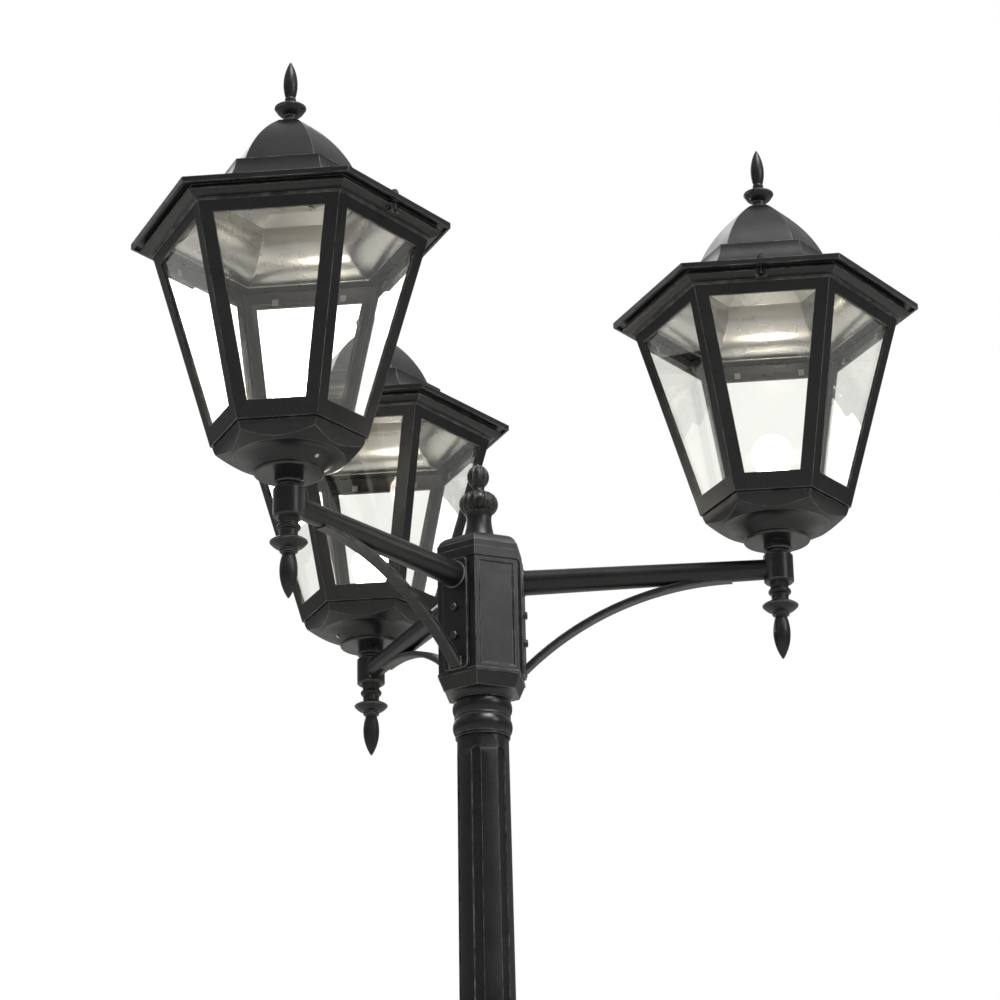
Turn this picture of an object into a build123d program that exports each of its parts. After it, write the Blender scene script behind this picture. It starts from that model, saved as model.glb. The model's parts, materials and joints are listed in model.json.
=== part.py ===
from build123d import *
from math import atan2, cos, degrees, radians, sin, sqrt, tan
import os

# Triple head lamp post, in millimetres. +Z is up, the origin is on the ground under the mast.
# Three arms at 0, 120 and 240 degrees each carry one hexagonal lantern. A lantern is drawn in its
# own frame: height 0 is the arm's axis, its corners lie at 0, 60, 120 ... degrees, its latch is at
# -90 degrees and its hinge at +90.

# ---- fits ----
running_fit = 0.08  # radial clearance of a pin or screw that turns
seat_fit = 0.05  # radial clearance of a spigot that is fixed in its socket
moving_gap = 0.4  # gap between knuckles and beside moving faces

# ---- arrangement ----
arm_angles = (0, 120, 240)
lantern_turns = (0, 120, 60)  # the left lantern's latch faces the right one
arm_height = 2560.0  # arm axis above the ground
arm_reach = 450.0  # mast axis to lantern axis

# ---- lantern cage ----
cage_base_z = 92.0  # underside of the cage
cage_height = 303.0  # up to the cornice
cage_base_flat = 98.5  # half the size across the flats, at the base
cage_top_flat = 175.0
cage_wall = 4.0
post_width = 19.5  # each side of a corner
top_rail = 18.0
bottom_rail = 26.0
base_flange = 13.0  # inward flange under the bottom rail
base_flange_thickness = 4.0
cornice_height = 12.0
cornice_overhang = 17.0
cornice_lip = 2.0
cornice_bead = 2.5

# ---- glass ----
glass_thickness = 3.0
glass_overlap = 7.0  # hidden behind the frame on every side
clip_width = 9.0
clip_reach = 5.0  # over the glass
clip_thickness = 1.3
clip_foot = 6.0
clip_spacing = 0.62  # of the pane's top width, between the two clips

# ---- pan and its screw ----
pan_disc_radius = 50.0
pan_disc_z = 42.0
pan_bell_radius = 80.0
pan_bell_rise = 24.0
pan_cove_radius = 38.4
pan_cove_start = 148.0  # direction from the cove's centre to its lower end
pan_panel_rise = 25.0  # height of the six panels
pan_panel_draw = 13.0  # how far the panels draw in
pan_lip = 3.0  # how far the panels stand in from the cage
pan_wall = 3.0
pan_groove = 2.0
pan_screw_azimuth = 84.0  # from the arm's direction
pan_screw_place = 130.0  # direction from the cove's centre
pan_screw_radius = 1.6
pan_screw_length = 7.0
pan_screw_head_radius = 3.2
pan_screw_head_height = 1.8
pan_screw_seat = 0.5

# ---- hood ----
rim_flat = 203.5
rim_gap = 3.5  # lower edge of the rim above the cage
rim_depth = 8.5
rim_wall = 4.0
hood_wall = 3.0
recess_depth = 4.0  # groove between rim and seat
seat_outer_flat = 186.0
seat_width = 8.0
hood_opening_flat = 160.0
skirt_base_flat = 137.5
skirt_base_rise = 31.5  # above the rim's lower edge
skirt_top_flat = 104.0
skirt_top_rise = 82.5
ledge_flat = 88.0  # where the dome stands on the skirt
dome_base_rise = 87.0
dome_top_flat = 22.0
dome_top_rise = 184.0
dome_shoulder_flat = 55.0
dome_shoulder_rise = 151.0
dome_hole_radius = 5.0

# ---- hood finial ----
finial_height = 105.0
finial_base_radius = 13.0
finial_disc_rise = 28.0  # heights above the dome
finial_ring_rise = 44.0
finial_bud_rise = 65.0
finial_disc_radius = 23.5
finial_bud_radius = 10.5
finial_spigot = 14.0
tip_width = 1.5  # rounded end of the finials' buds
tip_rise = 1.0

# ---- hinge and latch ----
hinge_offset = 6.5  # axis outside the rim
hinge_drop = 1.0  # axis below the cage's top
knuckle_radius = 5.5
cage_knuckle_length = 30.0
hood_knuckle_length = 12.0
hinge_pin_radius = 2.5
latch_inset = 10.5  # screw axis inside the rim
latch_radius = 2.5
latch_reach = 8.0  # of the screw below the cage's top
latch_head_radius = 4.5
latch_head_height = 3.5
latch_boss_radius = 6.0
latch_boss_top = 3.0  # boss above the roof
lug_width = 16.0
lug_depth = 9.0
notch_width = 7.0

# ---- reflector ----
reflector_wall = 1.2
reflector_flange = 18.0
bell_base_flat = 158.0
bell_top_flat = 100.0
bell_rise = 68.0
band_top_flat = 78.0
band_rise = 13.0
mirror_hole_radius = 70.0
mirror_radius = 75.0
mirror_thickness = 1.2

# ---- lamp ----
holder_radius = 23.0
holder_height = 74.0
holder_bore = 14.5
holder_depth = 28.0
holder_chamfer = 2.0
holder_wire_radius = 6.0
lamp_globe_radius = 31.0
lamp_neck_angle = 17.0
lamp_length = 96.0  # above the holder
lamp_cap_radius = 13.2
lamp_cap_proud = 2.0

# ---- neck, sleeve and drop ----
neck_cylinder_radius = 20.5
neck_cylinder_height = 10.0
neck_ring_radius = 22.5
neck_ring_height = 4.0
neck_waist_radius = 14.5
neck_bead_radius = 16.5
sleeve_radius = 22.5
sleeve_length = 45.0
sleeve_chamfer = 2.5
nipple_radius = 9.8
nipple_bore = 6.5
nipple_into_sleeve = 14.0
nipple_into_pan = 10.0
drop_neck_radius = 15.0
drop_neck_length = 9.0
drop_torus_radius = 17.0
drop_torus_height = 10.0
drop_waist_radius = 13.0
drop_waist_length = 9.0
drop_flange_radius = 27.0
drop_flange_drop = 36.0  # below the sleeve, the widest place
drop_bowl_radius = 12.0
drop_bowl_drop = 47.0
drop_ring_height = 5.0
drop_bud_radius = 12.8
drop_bud_drop = 82.0
drop_length = 119.0
drop_spigot = 12.0

# ---- arm ----
tube_hub_radius = 19.2
tube_end_radius = 15.4
tube_bore = 8.0
tube_into_sleeve = 9.0
tube_spigot_radius = 12.0  # through the plate and into the hub
tube_spigot = 11.0
plate_width = 45.0
plate_thickness = 5.0
plate_corner = 8.0
plate_edge = 1.0
plate_top_gap = 1.0  # below the hub body's top
plate_height = 174.0
bolt_head_radius = 6.0
bolt_head_height = 5.0
bolt_head_edge = 0.8
bolt_shank_radius = 4.0
bolt_shank_length = 20.0
bolt_upper_drop = 52.0  # below the arm's axis
bolt_pitch = 44.0
brace_width = 20.0
brace_depth = 9.0
brace_radius = 455.0
brace_crown_reach = 380.0  # where the brace runs level, from the mast's axis
brace_crown_drop = 12.5  # its centre line there, below the arm's axis
brace_edge = 1.5

# ---- hub ----
hub_flat = 60.6
hub_body_top = 26.0
hub_body_height = 180.0
hub_bore = 38.0
hub_rail = 4.5
hub_rail_proud = 1.2
hub_panel_margin = 6.5
hub_panel_depth = 2.5
cap_band_height = 15.0
cap_band_proud = 1.8
cap_wall = 5.0
cap_side_height = 11.0
cap_step = 1.0
cap_height = 29.0  # above the band
cap_shoulder = 25.0
hub_finial_base_radius = 27.0
hub_finial_base_height = 4.0
hub_finial_neck_radius = 19.0
hub_finial_neck_rise = 38.0  # heights above the cap
hub_melon_base_radius = 21.5
hub_melon_base_rise = 46.0
hub_melon_radius = 29.6
hub_melon_rise = 63.0
hub_melon_top_radius = 17.0
hub_melon_top_rise = 78.0
hub_waist_radius = 9.1
hub_waist_rise = 85.5
hub_bud_base_rise = 91.5
hub_bud_radius = 16.7
hub_bud_rise = 103.0
hub_finial_height = 127.0
hub_tip_width = 3.0
hub_tip_rise = 2.0
gadroon_count = 16
gadroon_radius = 2.4
bud_rib_count = 10
bud_rib_radius = 1.7
hub_spigot_radius = 14.0
hub_spigot = 12.0

# ---- collar and mast ----
collar_flange_height = 20.0
collar_flange_draw = 7.8  # how far the flange's lower edge draws in
collar_length = 88.0
collar_cove_radius = 50.0
collar_cove_drop = 10.0
collar_neck_radius = 41.0
collar_torus_radius = 44.6
collar_torus_height = 24.0
collar_ring_radius = 42.2
collar_ring_height = 5.0
cable_bore = 30.0
mast_top_radius = 38.2
mast_taper = 0.006  # growth of the radius down the mast
mast_wall = 6.0
mast_into_collar = 74.0
flute_count = 6
flute_azimuth = 20.0
flute_width = 14.5
flute_depth = 3.0
flute_top_gap = 20.0  # below the collar
flute_foot_gap = 40.0  # above the pedestal

# ---- pedestal ----
pedestal_flat = 105.0
pedestal_wall = 6.0
plinth_flat = 160.0
plinth_height = 20.0
plinth_lip = 8.0
plinth_rise = 70.0  # top of the curve from plinth to shaft
plinth_cove = 58.0
pedestal_rail = 12.0
pedestal_rail_proud = 3.0
shaft_top = 440.0
shoulder_radius = 100.0
shoulder_step = 8.0
shoulder_neck_radius = 63.0
shoulder_neck_z = 520.0
shoulder_cove = 70.0
pedestal_torus_radius = 67.0
pedestal_torus_height = 20.0
pedestal_neck_radius = 56.0
pedestal_ring_radius = 60.0
pedestal_ring_height = 8.0
pedestal_top = 600.0
mast_seat_z = 500.0
pedestal_panel_margin = 12.0
pedestal_panel_depth = 3.0
anchor_circle_radius = 134.0
anchor_hole_radius = 7.0
anchor_spot_radius = 16.0
anchor_spot_z = 14.0
door_azimuth = -60.0
door_height = 220.0
door_z = 250.0  # middle of the door
door_thickness = 4.0
door_land = 7.0  # strip of the shaft that the door lies on
door_side_gap = 2.0
door_knuckle_radius = 3.6
door_knuckle_length = 12.0
door_knuckle_spread = 78.0  # from the door's middle to the middle of a knuckle
door_pin_radius = 1.6
lug_foot = 5.0
lock_inset = 12.0
lock_radius = 2.5
lock_head_radius = 7.0
lock_head_height = 3.0
lock_head_edge = 0.8
lock_reach = 8.0  # behind the door
lock_tab_height = 18.0
lock_tab_thickness = 4.0
lock_slot_play = 0.5
lock_slot_run = 1.5
terminal_width = 60.0
terminal_height = 90.0
terminal_depth = 28.0

# ---- worked-out places ----
half_turn = tan(radians(30))  # half a flat's width for a flat distance of 1
span = 2 * plinth_flat + 100  # longer than any section that is cut across
cage_top_z = cage_base_z + cage_height  # underside of the cornice
parting_z = cage_top_z + cornice_height
cornice_flat = cage_top_flat + cornice_overhang
cage_slope = (cage_top_flat - cage_base_flat) / cage_height
cage_tilt = degrees(atan2(cage_top_flat - cage_base_flat, cage_height))
cage_slant = cage_height / cos(radians(cage_tilt))
rim_z = parting_z + rim_gap
hinge_flat = rim_flat + hinge_offset
hinge_z = parting_z - hinge_drop
latch_flat = rim_flat - latch_inset
hub_body_bottom = hub_body_top - hub_body_height
collar_bottom = hub_body_bottom - collar_length
mast_top = arm_height + collar_bottom + mast_into_collar
sleeve_top = sleeve_length / 2
sleeve_bottom = -sleeve_top


def upright(azimuth, flat=0.0, height=0.0):
    """Vertical drawing plane through the axis: x runs outward at the azimuth, y runs up."""
    outward = Vector(1, 0, 0).rotate(Axis.Z, azimuth)
    return Plane(outward * flat + Vector(0, 0, height), outward, outward.rotate(Axis.Z, -90))


def facing(azimuth, flat, height=0.0):
    """Drawing plane on a flat: x runs along the flat, y runs up and the normal points outward."""
    outward = Vector(1, 0, 0).rotate(Axis.Z, azimuth)
    return Plane(outward * flat + Vector(0, 0, height), outward.rotate(Axis.Z, 90), outward)


def hexagonal(outline, first_flat=30, wall=0.0):
    """Solid with the same outline over each flat; outline(wall) draws half of its section, a wall in."""
    with BuildPart() as body:
        for turn in range(0, 180, 60):
            with BuildSketch(upright(first_flat + turn)):
                with BuildLine():
                    outline(wall)
                make_face()
                mirror(about=Plane.YZ)
            extrude(amount=span, both=True, mode=Mode.INTERSECT if turn else Mode.ADD)
    return body.part


def hexagonal_ring(outer_flat, inner_flat, bottom, top, first_flat=30):
    """Plain hexagonal ring between two heights."""
    with BuildPart() as ring:
        with BuildSketch(Plane.XY.offset(bottom)):
            RegularPolygon(outer_flat, 6, major_radius=False, rotation=first_flat - 30)
            if inner_flat:
                RegularPolygon(inner_flat, 6, major_radius=False, rotation=first_flat - 30,
                               mode=Mode.SUBTRACT)
        extrude(amount=top - bottom)
    return ring.part


def turned(outline, wall=0.0):
    """Solid of revolution about the upright axis; outline(wall) draws half of its section, a wall in."""
    with BuildPart() as body:
        with BuildSketch(Plane.XZ):
            with BuildLine():
                outline(wall)
            make_face()
        revolve(axis=Axis.Z)
    return body.part


def rounded_tip(width, base_z, end_z):
    """Arc of a spherical tip, from a half width down or up to the axis."""
    rise = abs(end_z - base_z)
    ball = (width ** 2 + rise ** 2) / (2 * rise)
    RadiusArc((width, base_z), (0, end_z), -ball if end_z > base_z else ball)


def slanted(azimuth, depth=0.0):
    """Plane on a cage flat, its origin at the middle of the lower edge, y up the slope."""
    base = facing(azimuth, cage_base_flat, cage_base_z)
    outward = base.z_dir.rotate(Axis(base.origin, base.x_dir), cage_tilt)
    return Plane(base.origin, base.x_dir, outward).offset(-depth)


def pane_outline(margin_side, margin_bottom, margin_top):
    """Trapezium on a cage flat, inside the flat's edges by the given margins."""
    grow = (cage_top_flat - cage_base_flat) * half_turn / cage_slant
    low = margin_bottom
    high = cage_slant - margin_top
    low_half = cage_base_flat * half_turn + grow * low - margin_side
    high_half = cage_base_flat * half_turn + grow * high - margin_side
    Polyline((-low_half, low), (low_half, low), (high_half, high), (-high_half, high), close=True)


# ---- cage ----
def cage_outline(_):
    lip = parting_z - cornice_lip
    bead = cage_top_flat + cornice_bead
    Polyline((0, cage_base_z), (cage_base_flat, cage_base_z), (cage_top_flat, cage_top_z), (bead, cage_top_z))
    Line((bead, cage_top_z), (bead, cage_top_z + cornice_bead))
    RadiusArc((bead, cage_top_z + cornice_bead), (cornice_flat, lip), -cornice_overhang)
    Polyline((cornice_flat, lip), (cornice_flat, parting_z), (0, parting_z), (0, cage_base_z))


def cage_hollow_outline(wall):
    inset = wall / cos(radians(cage_tilt))
    low = cage_base_flat - inset
    high = cage_top_flat - inset + cage_slope * cornice_height
    Polyline((0, cage_base_z), (low, cage_base_z), (high, parting_z), (0, parting_z), close=True)


cage_body = hexagonal(cage_outline)
cage_hollow = hexagonal(cage_hollow_outline, wall=cage_wall)
base_flange_outer = cage_base_flat - cage_wall
with BuildPart() as cage:
    add(cage_body)
    add(cage_hollow, mode=Mode.SUBTRACT)
    for flat in range(30, 390, 60):
        with BuildSketch(slanted(flat, cage_wall + 1)):
            with BuildLine():
                pane_outline(post_width, bottom_rail, top_rail)
            make_face()
        extrude(amount=cage_wall + 2, mode=Mode.SUBTRACT)
    add(hexagonal_ring(base_flange_outer + 1, base_flange_outer - base_flange, cage_base_z,
                       cage_base_z + base_flange_thickness))
    # ledge that the panes stand on
    with BuildSketch(*[slanted(flat, cage_wall) for flat in range(30, 390, 60)]):
        with Locations((0, bottom_rail - glass_overlap - 2)):
            Rectangle(2 * (cage_base_flat * half_turn - post_width), 4)
    extrude(amount=-glass_thickness)
    # lug under the cornice with the open notch for the latch screw
    with BuildSketch(upright(-90)):
        with Locations((cornice_flat + 2 - lug_depth / 2, parting_z - cornice_height / 2)):
            Rectangle(lug_depth, cornice_height)
    extrude(amount=lug_width / 2, both=True)
    with BuildSketch(Plane.XY.offset(cage_top_z - 1)):
        with Locations((0, -latch_flat), (0, -latch_flat - notch_width)):
            Circle(notch_width / 2)
        with Locations((0, -latch_flat - notch_width / 2)):
            Rectangle(notch_width, notch_width)
    extrude(amount=cornice_height + 2, mode=Mode.SUBTRACT)
    # fixed hinge knuckle and its web
    with BuildSketch(upright(90)):
        with Locations(((cornice_flat - 4 + hinge_flat) / 2, hinge_z - knuckle_radius / 2)):
            Rectangle(hinge_flat - cornice_flat + 4, knuckle_radius)
        with Locations((hinge_flat, hinge_z)):
            Circle(knuckle_radius)
    extrude(amount=cage_knuckle_length / 2, both=True)
    with BuildSketch(upright(90)):
        with Locations((hinge_flat, hinge_z)):
            Circle(hinge_pin_radius + seat_fit)
    extrude(amount=cage_knuckle_length, both=True, mode=Mode.SUBTRACT)
cage.part.label = "cage"

# ---- panes and their clips ----
with BuildPart() as panes:
    for flat in range(30, 390, 60):
        with BuildSketch(slanted(flat, cage_wall)):
            with BuildLine():
                pane_outline(post_width - glass_overlap, bottom_rail - glass_overlap, top_rail - glass_overlap)
            make_face()
        extrude(amount=-glass_thickness)
panes.part.label = "panes"

pane_top = cage_slant - top_rail + glass_overlap
pane_top_half = cage_top_flat * half_turn - post_width
clip_height = glass_thickness + clip_thickness
with BuildPart() as pane_clips:
    for flat in range(30, 390, 60):
        with BuildSketch(slanted(flat, cage_wall)):
            with Locations((-clip_spacing * pane_top_half, pane_top), (clip_spacing * pane_top_half, pane_top)):
                Rectangle(clip_width, clip_foot, align=(Align.CENTER, Align.MIN))
        extrude(amount=-clip_height)
        with BuildSketch(slanted(flat, cage_wall + glass_thickness)):
            with Locations((-clip_spacing * pane_top_half, pane_top), (clip_spacing * pane_top_half, pane_top)):
                Rectangle(clip_width, clip_reach, align=(Align.CENTER, Align.MAX))
        extrude(amount=-clip_thickness)
pane_clips.part.label = "pane_clips"


# ---- pan ----
pan_rim_flat = cage_base_flat - pan_lip
pan_panel_z = cage_base_z - pan_groove
pan_low_z = pan_panel_z - pan_panel_rise
pan_low_flat = pan_rim_flat - pan_panel_draw


def pan_panel_outline(wall):
    """Slightly convex panel under a plain collar that fills the groove."""
    neck = pan_rim_flat - pan_groove - wall
    rim = pan_rim_flat - wall
    low = pan_low_flat - wall
    Polyline((0, cage_base_z), (neck, cage_base_z), (neck, pan_panel_z), (rim, pan_panel_z))
    RadiusArc((rim, pan_panel_z), (low, pan_low_z), 2.2 * pan_panel_rise)
    Polyline((low, pan_low_z), (low - pan_panel_draw, pan_disc_z), (0, pan_disc_z), (0, cage_base_z))


def pan_bell_outline(wall):
    """Round bell: flat disc with a rounded edge, a cove and a flare that cuts the panels in arcs."""
    centre_z = pan_disc_z + pan_bell_rise - pan_cove_radius
    cove = pan_cove_radius + wall
    edge = pan_bell_radius + cove * cos(radians(pan_cove_start))
    cove_z = centre_z + cove * sin(radians(pan_cove_start))
    floor_z = pan_disc_z + wall
    flare_z = centre_z + cove
    wide = pan_bell_radius + 40
    Line((0, floor_z), (edge, floor_z))
    if wall:
        Line((edge, floor_z), (edge, cove_z))
    else:
        ThreePointArc((edge, floor_z), (pan_disc_radius, (floor_z + cove_z) / 2), (edge, cove_z))
    RadiusArc((edge, cove_z), (pan_bell_radius, flare_z), cove)
    Polyline((pan_bell_radius, flare_z), (wide, flare_z + 20), (wide, cage_base_z), (0, cage_base_z), (0, floor_z))


# seat of the pan's screw, square to the cove
screw_outward = Vector(1, 0, 0).rotate(Axis.Z, pan_screw_azimuth)
screw_run = cos(radians(pan_screw_place))
screw_rise = sin(radians(pan_screw_place))
screw_place = screw_outward * (pan_bell_radius + pan_cove_radius * screw_run) + Vector(
    0, 0, pan_disc_z + pan_bell_rise - pan_cove_radius + pan_cove_radius * screw_rise)
pan_screw_plane = Plane(screw_place, z_dir=screw_outward * -screw_run - Vector(0, 0, screw_rise))
pan_panels = hexagonal(pan_panel_outline)
pan_panels_inner = hexagonal(pan_panel_outline, wall=pan_wall)
pan_bell = turned(pan_bell_outline)
pan_bell_inner = turned(pan_bell_outline, wall=pan_wall)
with BuildPart() as pan_hollow:
    add(pan_panels_inner)
    add(pan_bell_inner, mode=Mode.INTERSECT)
with BuildPart() as pan:
    add(pan_panels)
    add(pan_bell, mode=Mode.INTERSECT)
    add(pan_hollow.part, mode=Mode.SUBTRACT)
    with BuildSketch(Plane.XY.offset(pan_disc_z)):
        Circle(nipple_radius + seat_fit)
    extrude(amount=pan_wall, mode=Mode.SUBTRACT)
    with BuildSketch(pan_screw_plane.offset(-pan_screw_seat)):
        Circle(pan_screw_head_radius + moving_gap)
    extrude(amount=pan_wall, mode=Mode.SUBTRACT)
    with BuildSketch(pan_screw_plane):
        Circle(pan_screw_radius + seat_fit)
    extrude(amount=-2 * pan_wall, mode=Mode.SUBTRACT)
pan.part.label = "pan"

with BuildPart() as pan_screw:
    with BuildSketch(pan_screw_plane.offset(-pan_screw_seat)):
        Circle(pan_screw_head_radius)
    extrude(amount=pan_screw_head_height)
    with BuildSketch(pan_screw_plane.offset(-pan_screw_seat)):
        Circle(pan_screw_radius)
    extrude(amount=-pan_screw_length)
pan_screw.part.label = "pan_screws"


# ---- hood ----
def hood_outline(wall):
    """Rim, low roof, flared skirt with a ledge, and dome."""
    thin = wall * 0.9
    rim = rim_flat - (rim_wall if wall else 0)
    roof_z = rim_z + rim_depth - wall
    skirt_base = (skirt_base_flat - thin, rim_z + skirt_base_rise - thin)
    skirt_top = (skirt_top_flat - thin, rim_z + skirt_top_rise - thin)
    ledge = (ledge_flat - wall, rim_z + dome_base_rise - wall)
    shoulder = (dome_shoulder_flat - thin, rim_z + dome_shoulder_rise - thin)
    crown = (dome_top_flat - wall / 2, rim_z + dome_top_rise - wall)
    Polyline((0, rim_z), (rim, rim_z), (rim, roof_z), skirt_base)
    RadiusArc(skirt_base, skirt_top, 1.2 * (skirt_top_rise - skirt_base_rise))
    Line(skirt_top, ledge)
    ThreePointArc(ledge, shoulder, crown)
    Polyline(crown, (0, crown[1]), (0, rim_z))


hood_body = hexagonal(hood_outline)
hood_hollow = hexagonal(hood_outline, wall=hood_wall)
roof_at_latch = rim_z + rim_depth + (rim_flat - latch_flat) * (skirt_base_rise - rim_depth) / (
    rim_flat - skirt_base_flat)
boss_top = roof_at_latch + latch_boss_top
with BuildPart() as hood:
    add(hood_body)
    add(hood_hollow, mode=Mode.SUBTRACT)
    # floor of the rim, its groove and the seat on the cage
    add(hexagonal_ring(rim_flat - rim_wall / 2, hood_opening_flat, rim_z, rim_z + recess_depth + hood_wall))
    add(hexagonal_ring(rim_flat - rim_wall, seat_outer_flat, rim_z, rim_z + recess_depth), mode=Mode.SUBTRACT)
    add(hexagonal_ring(seat_outer_flat, seat_outer_flat - seat_width, parting_z, rim_z))
    # boss of the latch screw, through the roof and the groove
    with BuildSketch(Plane.XY.offset(rim_z)):
        with Locations((0, -latch_flat)):
            Circle(latch_boss_radius)
    extrude(amount=boss_top - rim_z)
    with BuildSketch(Plane.XY.offset(rim_z)):
        with Locations((0, -latch_flat)):
            Circle(latch_radius + running_fit)
    extrude(amount=boss_top - rim_z, mode=Mode.SUBTRACT)
    # hinge knuckles on the rim
    knuckle_middle = (cage_knuckle_length + hood_knuckle_length) / 2 + moving_gap
    for side in (-knuckle_middle, knuckle_middle):
        with BuildSketch(upright(90).offset(side)):
            with Locations((hinge_flat, hinge_z)):
                Circle(knuckle_radius)
            with BuildLine():
                Polyline((hinge_flat, hinge_z + knuckle_radius), (rim_flat - rim_wall / 2, rim_z + rim_depth - 2),
                         (rim_flat - rim_wall / 2, rim_z + 1), (hinge_flat - knuckle_radius, hinge_z), close=True)
            make_face()
        extrude(amount=hood_knuckle_length / 2, both=True)
    with BuildSketch(upright(90)):
        with Locations((hinge_flat, hinge_z)):
            Circle(hinge_pin_radius + running_fit)
    extrude(amount=2 * knuckle_middle, both=True, mode=Mode.SUBTRACT)
    # hole for the finial
    with BuildSketch(Plane.XY.offset(rim_z + dome_top_rise - 2 * hood_wall)):
        Circle(dome_hole_radius)
    extrude(amount=3 * hood_wall, mode=Mode.SUBTRACT)
hood.part.label = "hood"

hinge_pin_length = cage_knuckle_length + 2 * hood_knuckle_length + 2 * moving_gap
with BuildPart() as hood_hinge_pin:
    with BuildSketch(upright(90)):
        with Locations((hinge_flat, hinge_z)):
            Circle(hinge_pin_radius)
    extrude(amount=hinge_pin_length / 2, both=True)
hood_hinge_pin.part.label = "hood_hinge_pins"

with BuildPart() as latch_screw:
    with BuildSketch(Plane.XY.offset(boss_top)):
        with Locations((0, -latch_flat)):
            RegularPolygon(latch_head_radius, 6)
    extrude(amount=latch_head_height)
    with BuildSketch(Plane.XY.offset(boss_top)):
        with Locations((0, -latch_flat)):
            Circle(latch_radius)
    extrude(amount=parting_z - latch_reach - boss_top)
latch_screw.part.label = "latch_screw"


# ---- hood finial ----
def hood_finial_outline(_):
    """Base rings, cup with a sharp-edged disc, small ring and a slim bud."""
    low = rim_z + dome_top_rise
    top = low + finial_height
    base = finial_base_radius
    disc_z = low + finial_disc_rise
    ring_z = low + finial_ring_rise
    bud_z = low + finial_bud_rise
    Polyline((0, low), (base, low), (base, low + 2.5), (base - 1.5, low + 3.5), (base - 0.5, low + 6),
             (base - 2, low + 8), (base - 2, low + 14))
    RadiusArc((base - 2, low + 14), (finial_disc_radius - 1.5, disc_z - 2), -finial_disc_radius)
    ThreePointArc((finial_disc_radius - 1.5, disc_z - 2), (finial_disc_radius, disc_z),
                  (finial_disc_radius - 1.5, disc_z + 2))
    RadiusArc((finial_disc_radius - 1.5, disc_z + 2), (7, ring_z - 4), 2 * finial_disc_radius)
    ThreePointArc((7, ring_z - 4), (8.5, ring_z - 1.5), (7, ring_z + 1))
    Line((7, ring_z + 1), (7.5, ring_z + 2.5))
    ThreePointArc((7.5, ring_z + 2.5), (finial_bud_radius, bud_z), (tip_width, top - tip_rise))
    rounded_tip(tip_width, top - tip_rise, top)
    Line((0, top), (0, low))


hood_finial_body = turned(hood_finial_outline)
with BuildPart() as hood_finial:
    add(hood_finial_body)
    with BuildSketch(Plane.XY.offset(rim_z + dome_top_rise)):
        Circle(dome_hole_radius - seat_fit)
    extrude(amount=-finial_spigot)
hood_finial.part.label = "hood_finial"


# ---- reflector: six cylindrical petals, a sloping band and a flat top ----
def reflector_outline(wall):
    bell_top_z = rim_z + bell_rise
    band_top_z = bell_top_z + band_rise
    base = bell_base_flat - wall
    bell = bell_top_flat - wall
    band = band_top_flat - wall
    run = base - bell
    radius = (run ** 2 + bell_rise ** 2) / (2 * run)
    Line((0, rim_z - reflector_wall), (base, rim_z - reflector_wall))
    Line((base, rim_z - reflector_wall), (base, rim_z))
    RadiusArc((base, rim_z), (bell, bell_top_z), radius)
    Polyline((bell, bell_top_z), (band, band_top_z - wall), (0, band_top_z - wall), (0, rim_z - reflector_wall))


reflector_body = hexagonal(reflector_outline)
reflector_hollow = hexagonal(reflector_outline, wall=reflector_wall)
reflector_top_z = rim_z + bell_rise + band_rise
with BuildPart() as reflector:
    add(reflector_body)
    add(reflector_hollow, mode=Mode.SUBTRACT)
    add(hexagonal_ring(bell_base_flat + reflector_flange, bell_base_flat - reflector_wall / 2,
                       rim_z - reflector_wall, rim_z))
    with BuildSketch(Plane.XY.offset(reflector_top_z)):
        Circle(mirror_hole_radius)
    extrude(amount=-3 * reflector_wall, mode=Mode.SUBTRACT)
reflector.part.label = "reflector"

with BuildPart() as reflector_plate:
    with BuildSketch(Plane.XY.offset(reflector_top_z)):
        Circle(mirror_radius)
    extrude(amount=mirror_thickness)
reflector_plate.part.label = "reflector_plate"


# ---- lamp and its holder ----
holder_base_z = pan_disc_z + pan_wall
holder_top_z = holder_base_z + holder_height
with BuildPart() as lamp_holder:
    with BuildSketch(Plane.XY.offset(holder_base_z)):
        Circle(holder_radius)
    extrude(amount=holder_height)
    chamfer(lamp_holder.edges().sort_by(Axis.Z)[-1], length=holder_chamfer)
    with BuildSketch(Plane.XY.offset(holder_top_z)):
        Circle(holder_bore)
    extrude(amount=-holder_depth, mode=Mode.SUBTRACT)
    # seat on the threaded pipe and the wire way above it
    with BuildSketch(Plane.XY.offset(holder_base_z)):
        Circle(nipple_radius + seat_fit)
    extrude(amount=nipple_into_pan, mode=Mode.SUBTRACT)
    with BuildSketch(Plane.XY.offset(holder_base_z)):
        Circle(holder_wire_radius)
    extrude(amount=holder_height - holder_depth, mode=Mode.SUBTRACT)
lamp_holder.part.label = "lamp_holder"


def lamp_outline(_):
    """Screw cap, flared neck and round globe."""
    cap_z = holder_top_z - holder_depth
    neck_z = holder_top_z + lamp_cap_proud
    centre_z = holder_top_z + lamp_length - lamp_globe_radius
    low = radians(-lamp_neck_angle)
    middle = radians((90 - lamp_neck_angle) / 2)
    Polyline((0, cap_z), (lamp_cap_radius, cap_z), (lamp_cap_radius, neck_z),
             (lamp_globe_radius * cos(low), centre_z + lamp_globe_radius * sin(low)))
    ThreePointArc((lamp_globe_radius * cos(low), centre_z + lamp_globe_radius * sin(low)),
                  (lamp_globe_radius * cos(middle), centre_z + lamp_globe_radius * sin(middle)),
                  (0, centre_z + lamp_globe_radius))
    Line((0, centre_z + lamp_globe_radius), (0, cap_z))


with BuildPart() as lamp:
    add(turned(lamp_outline))
lamp.part.label = "lamp"


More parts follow.
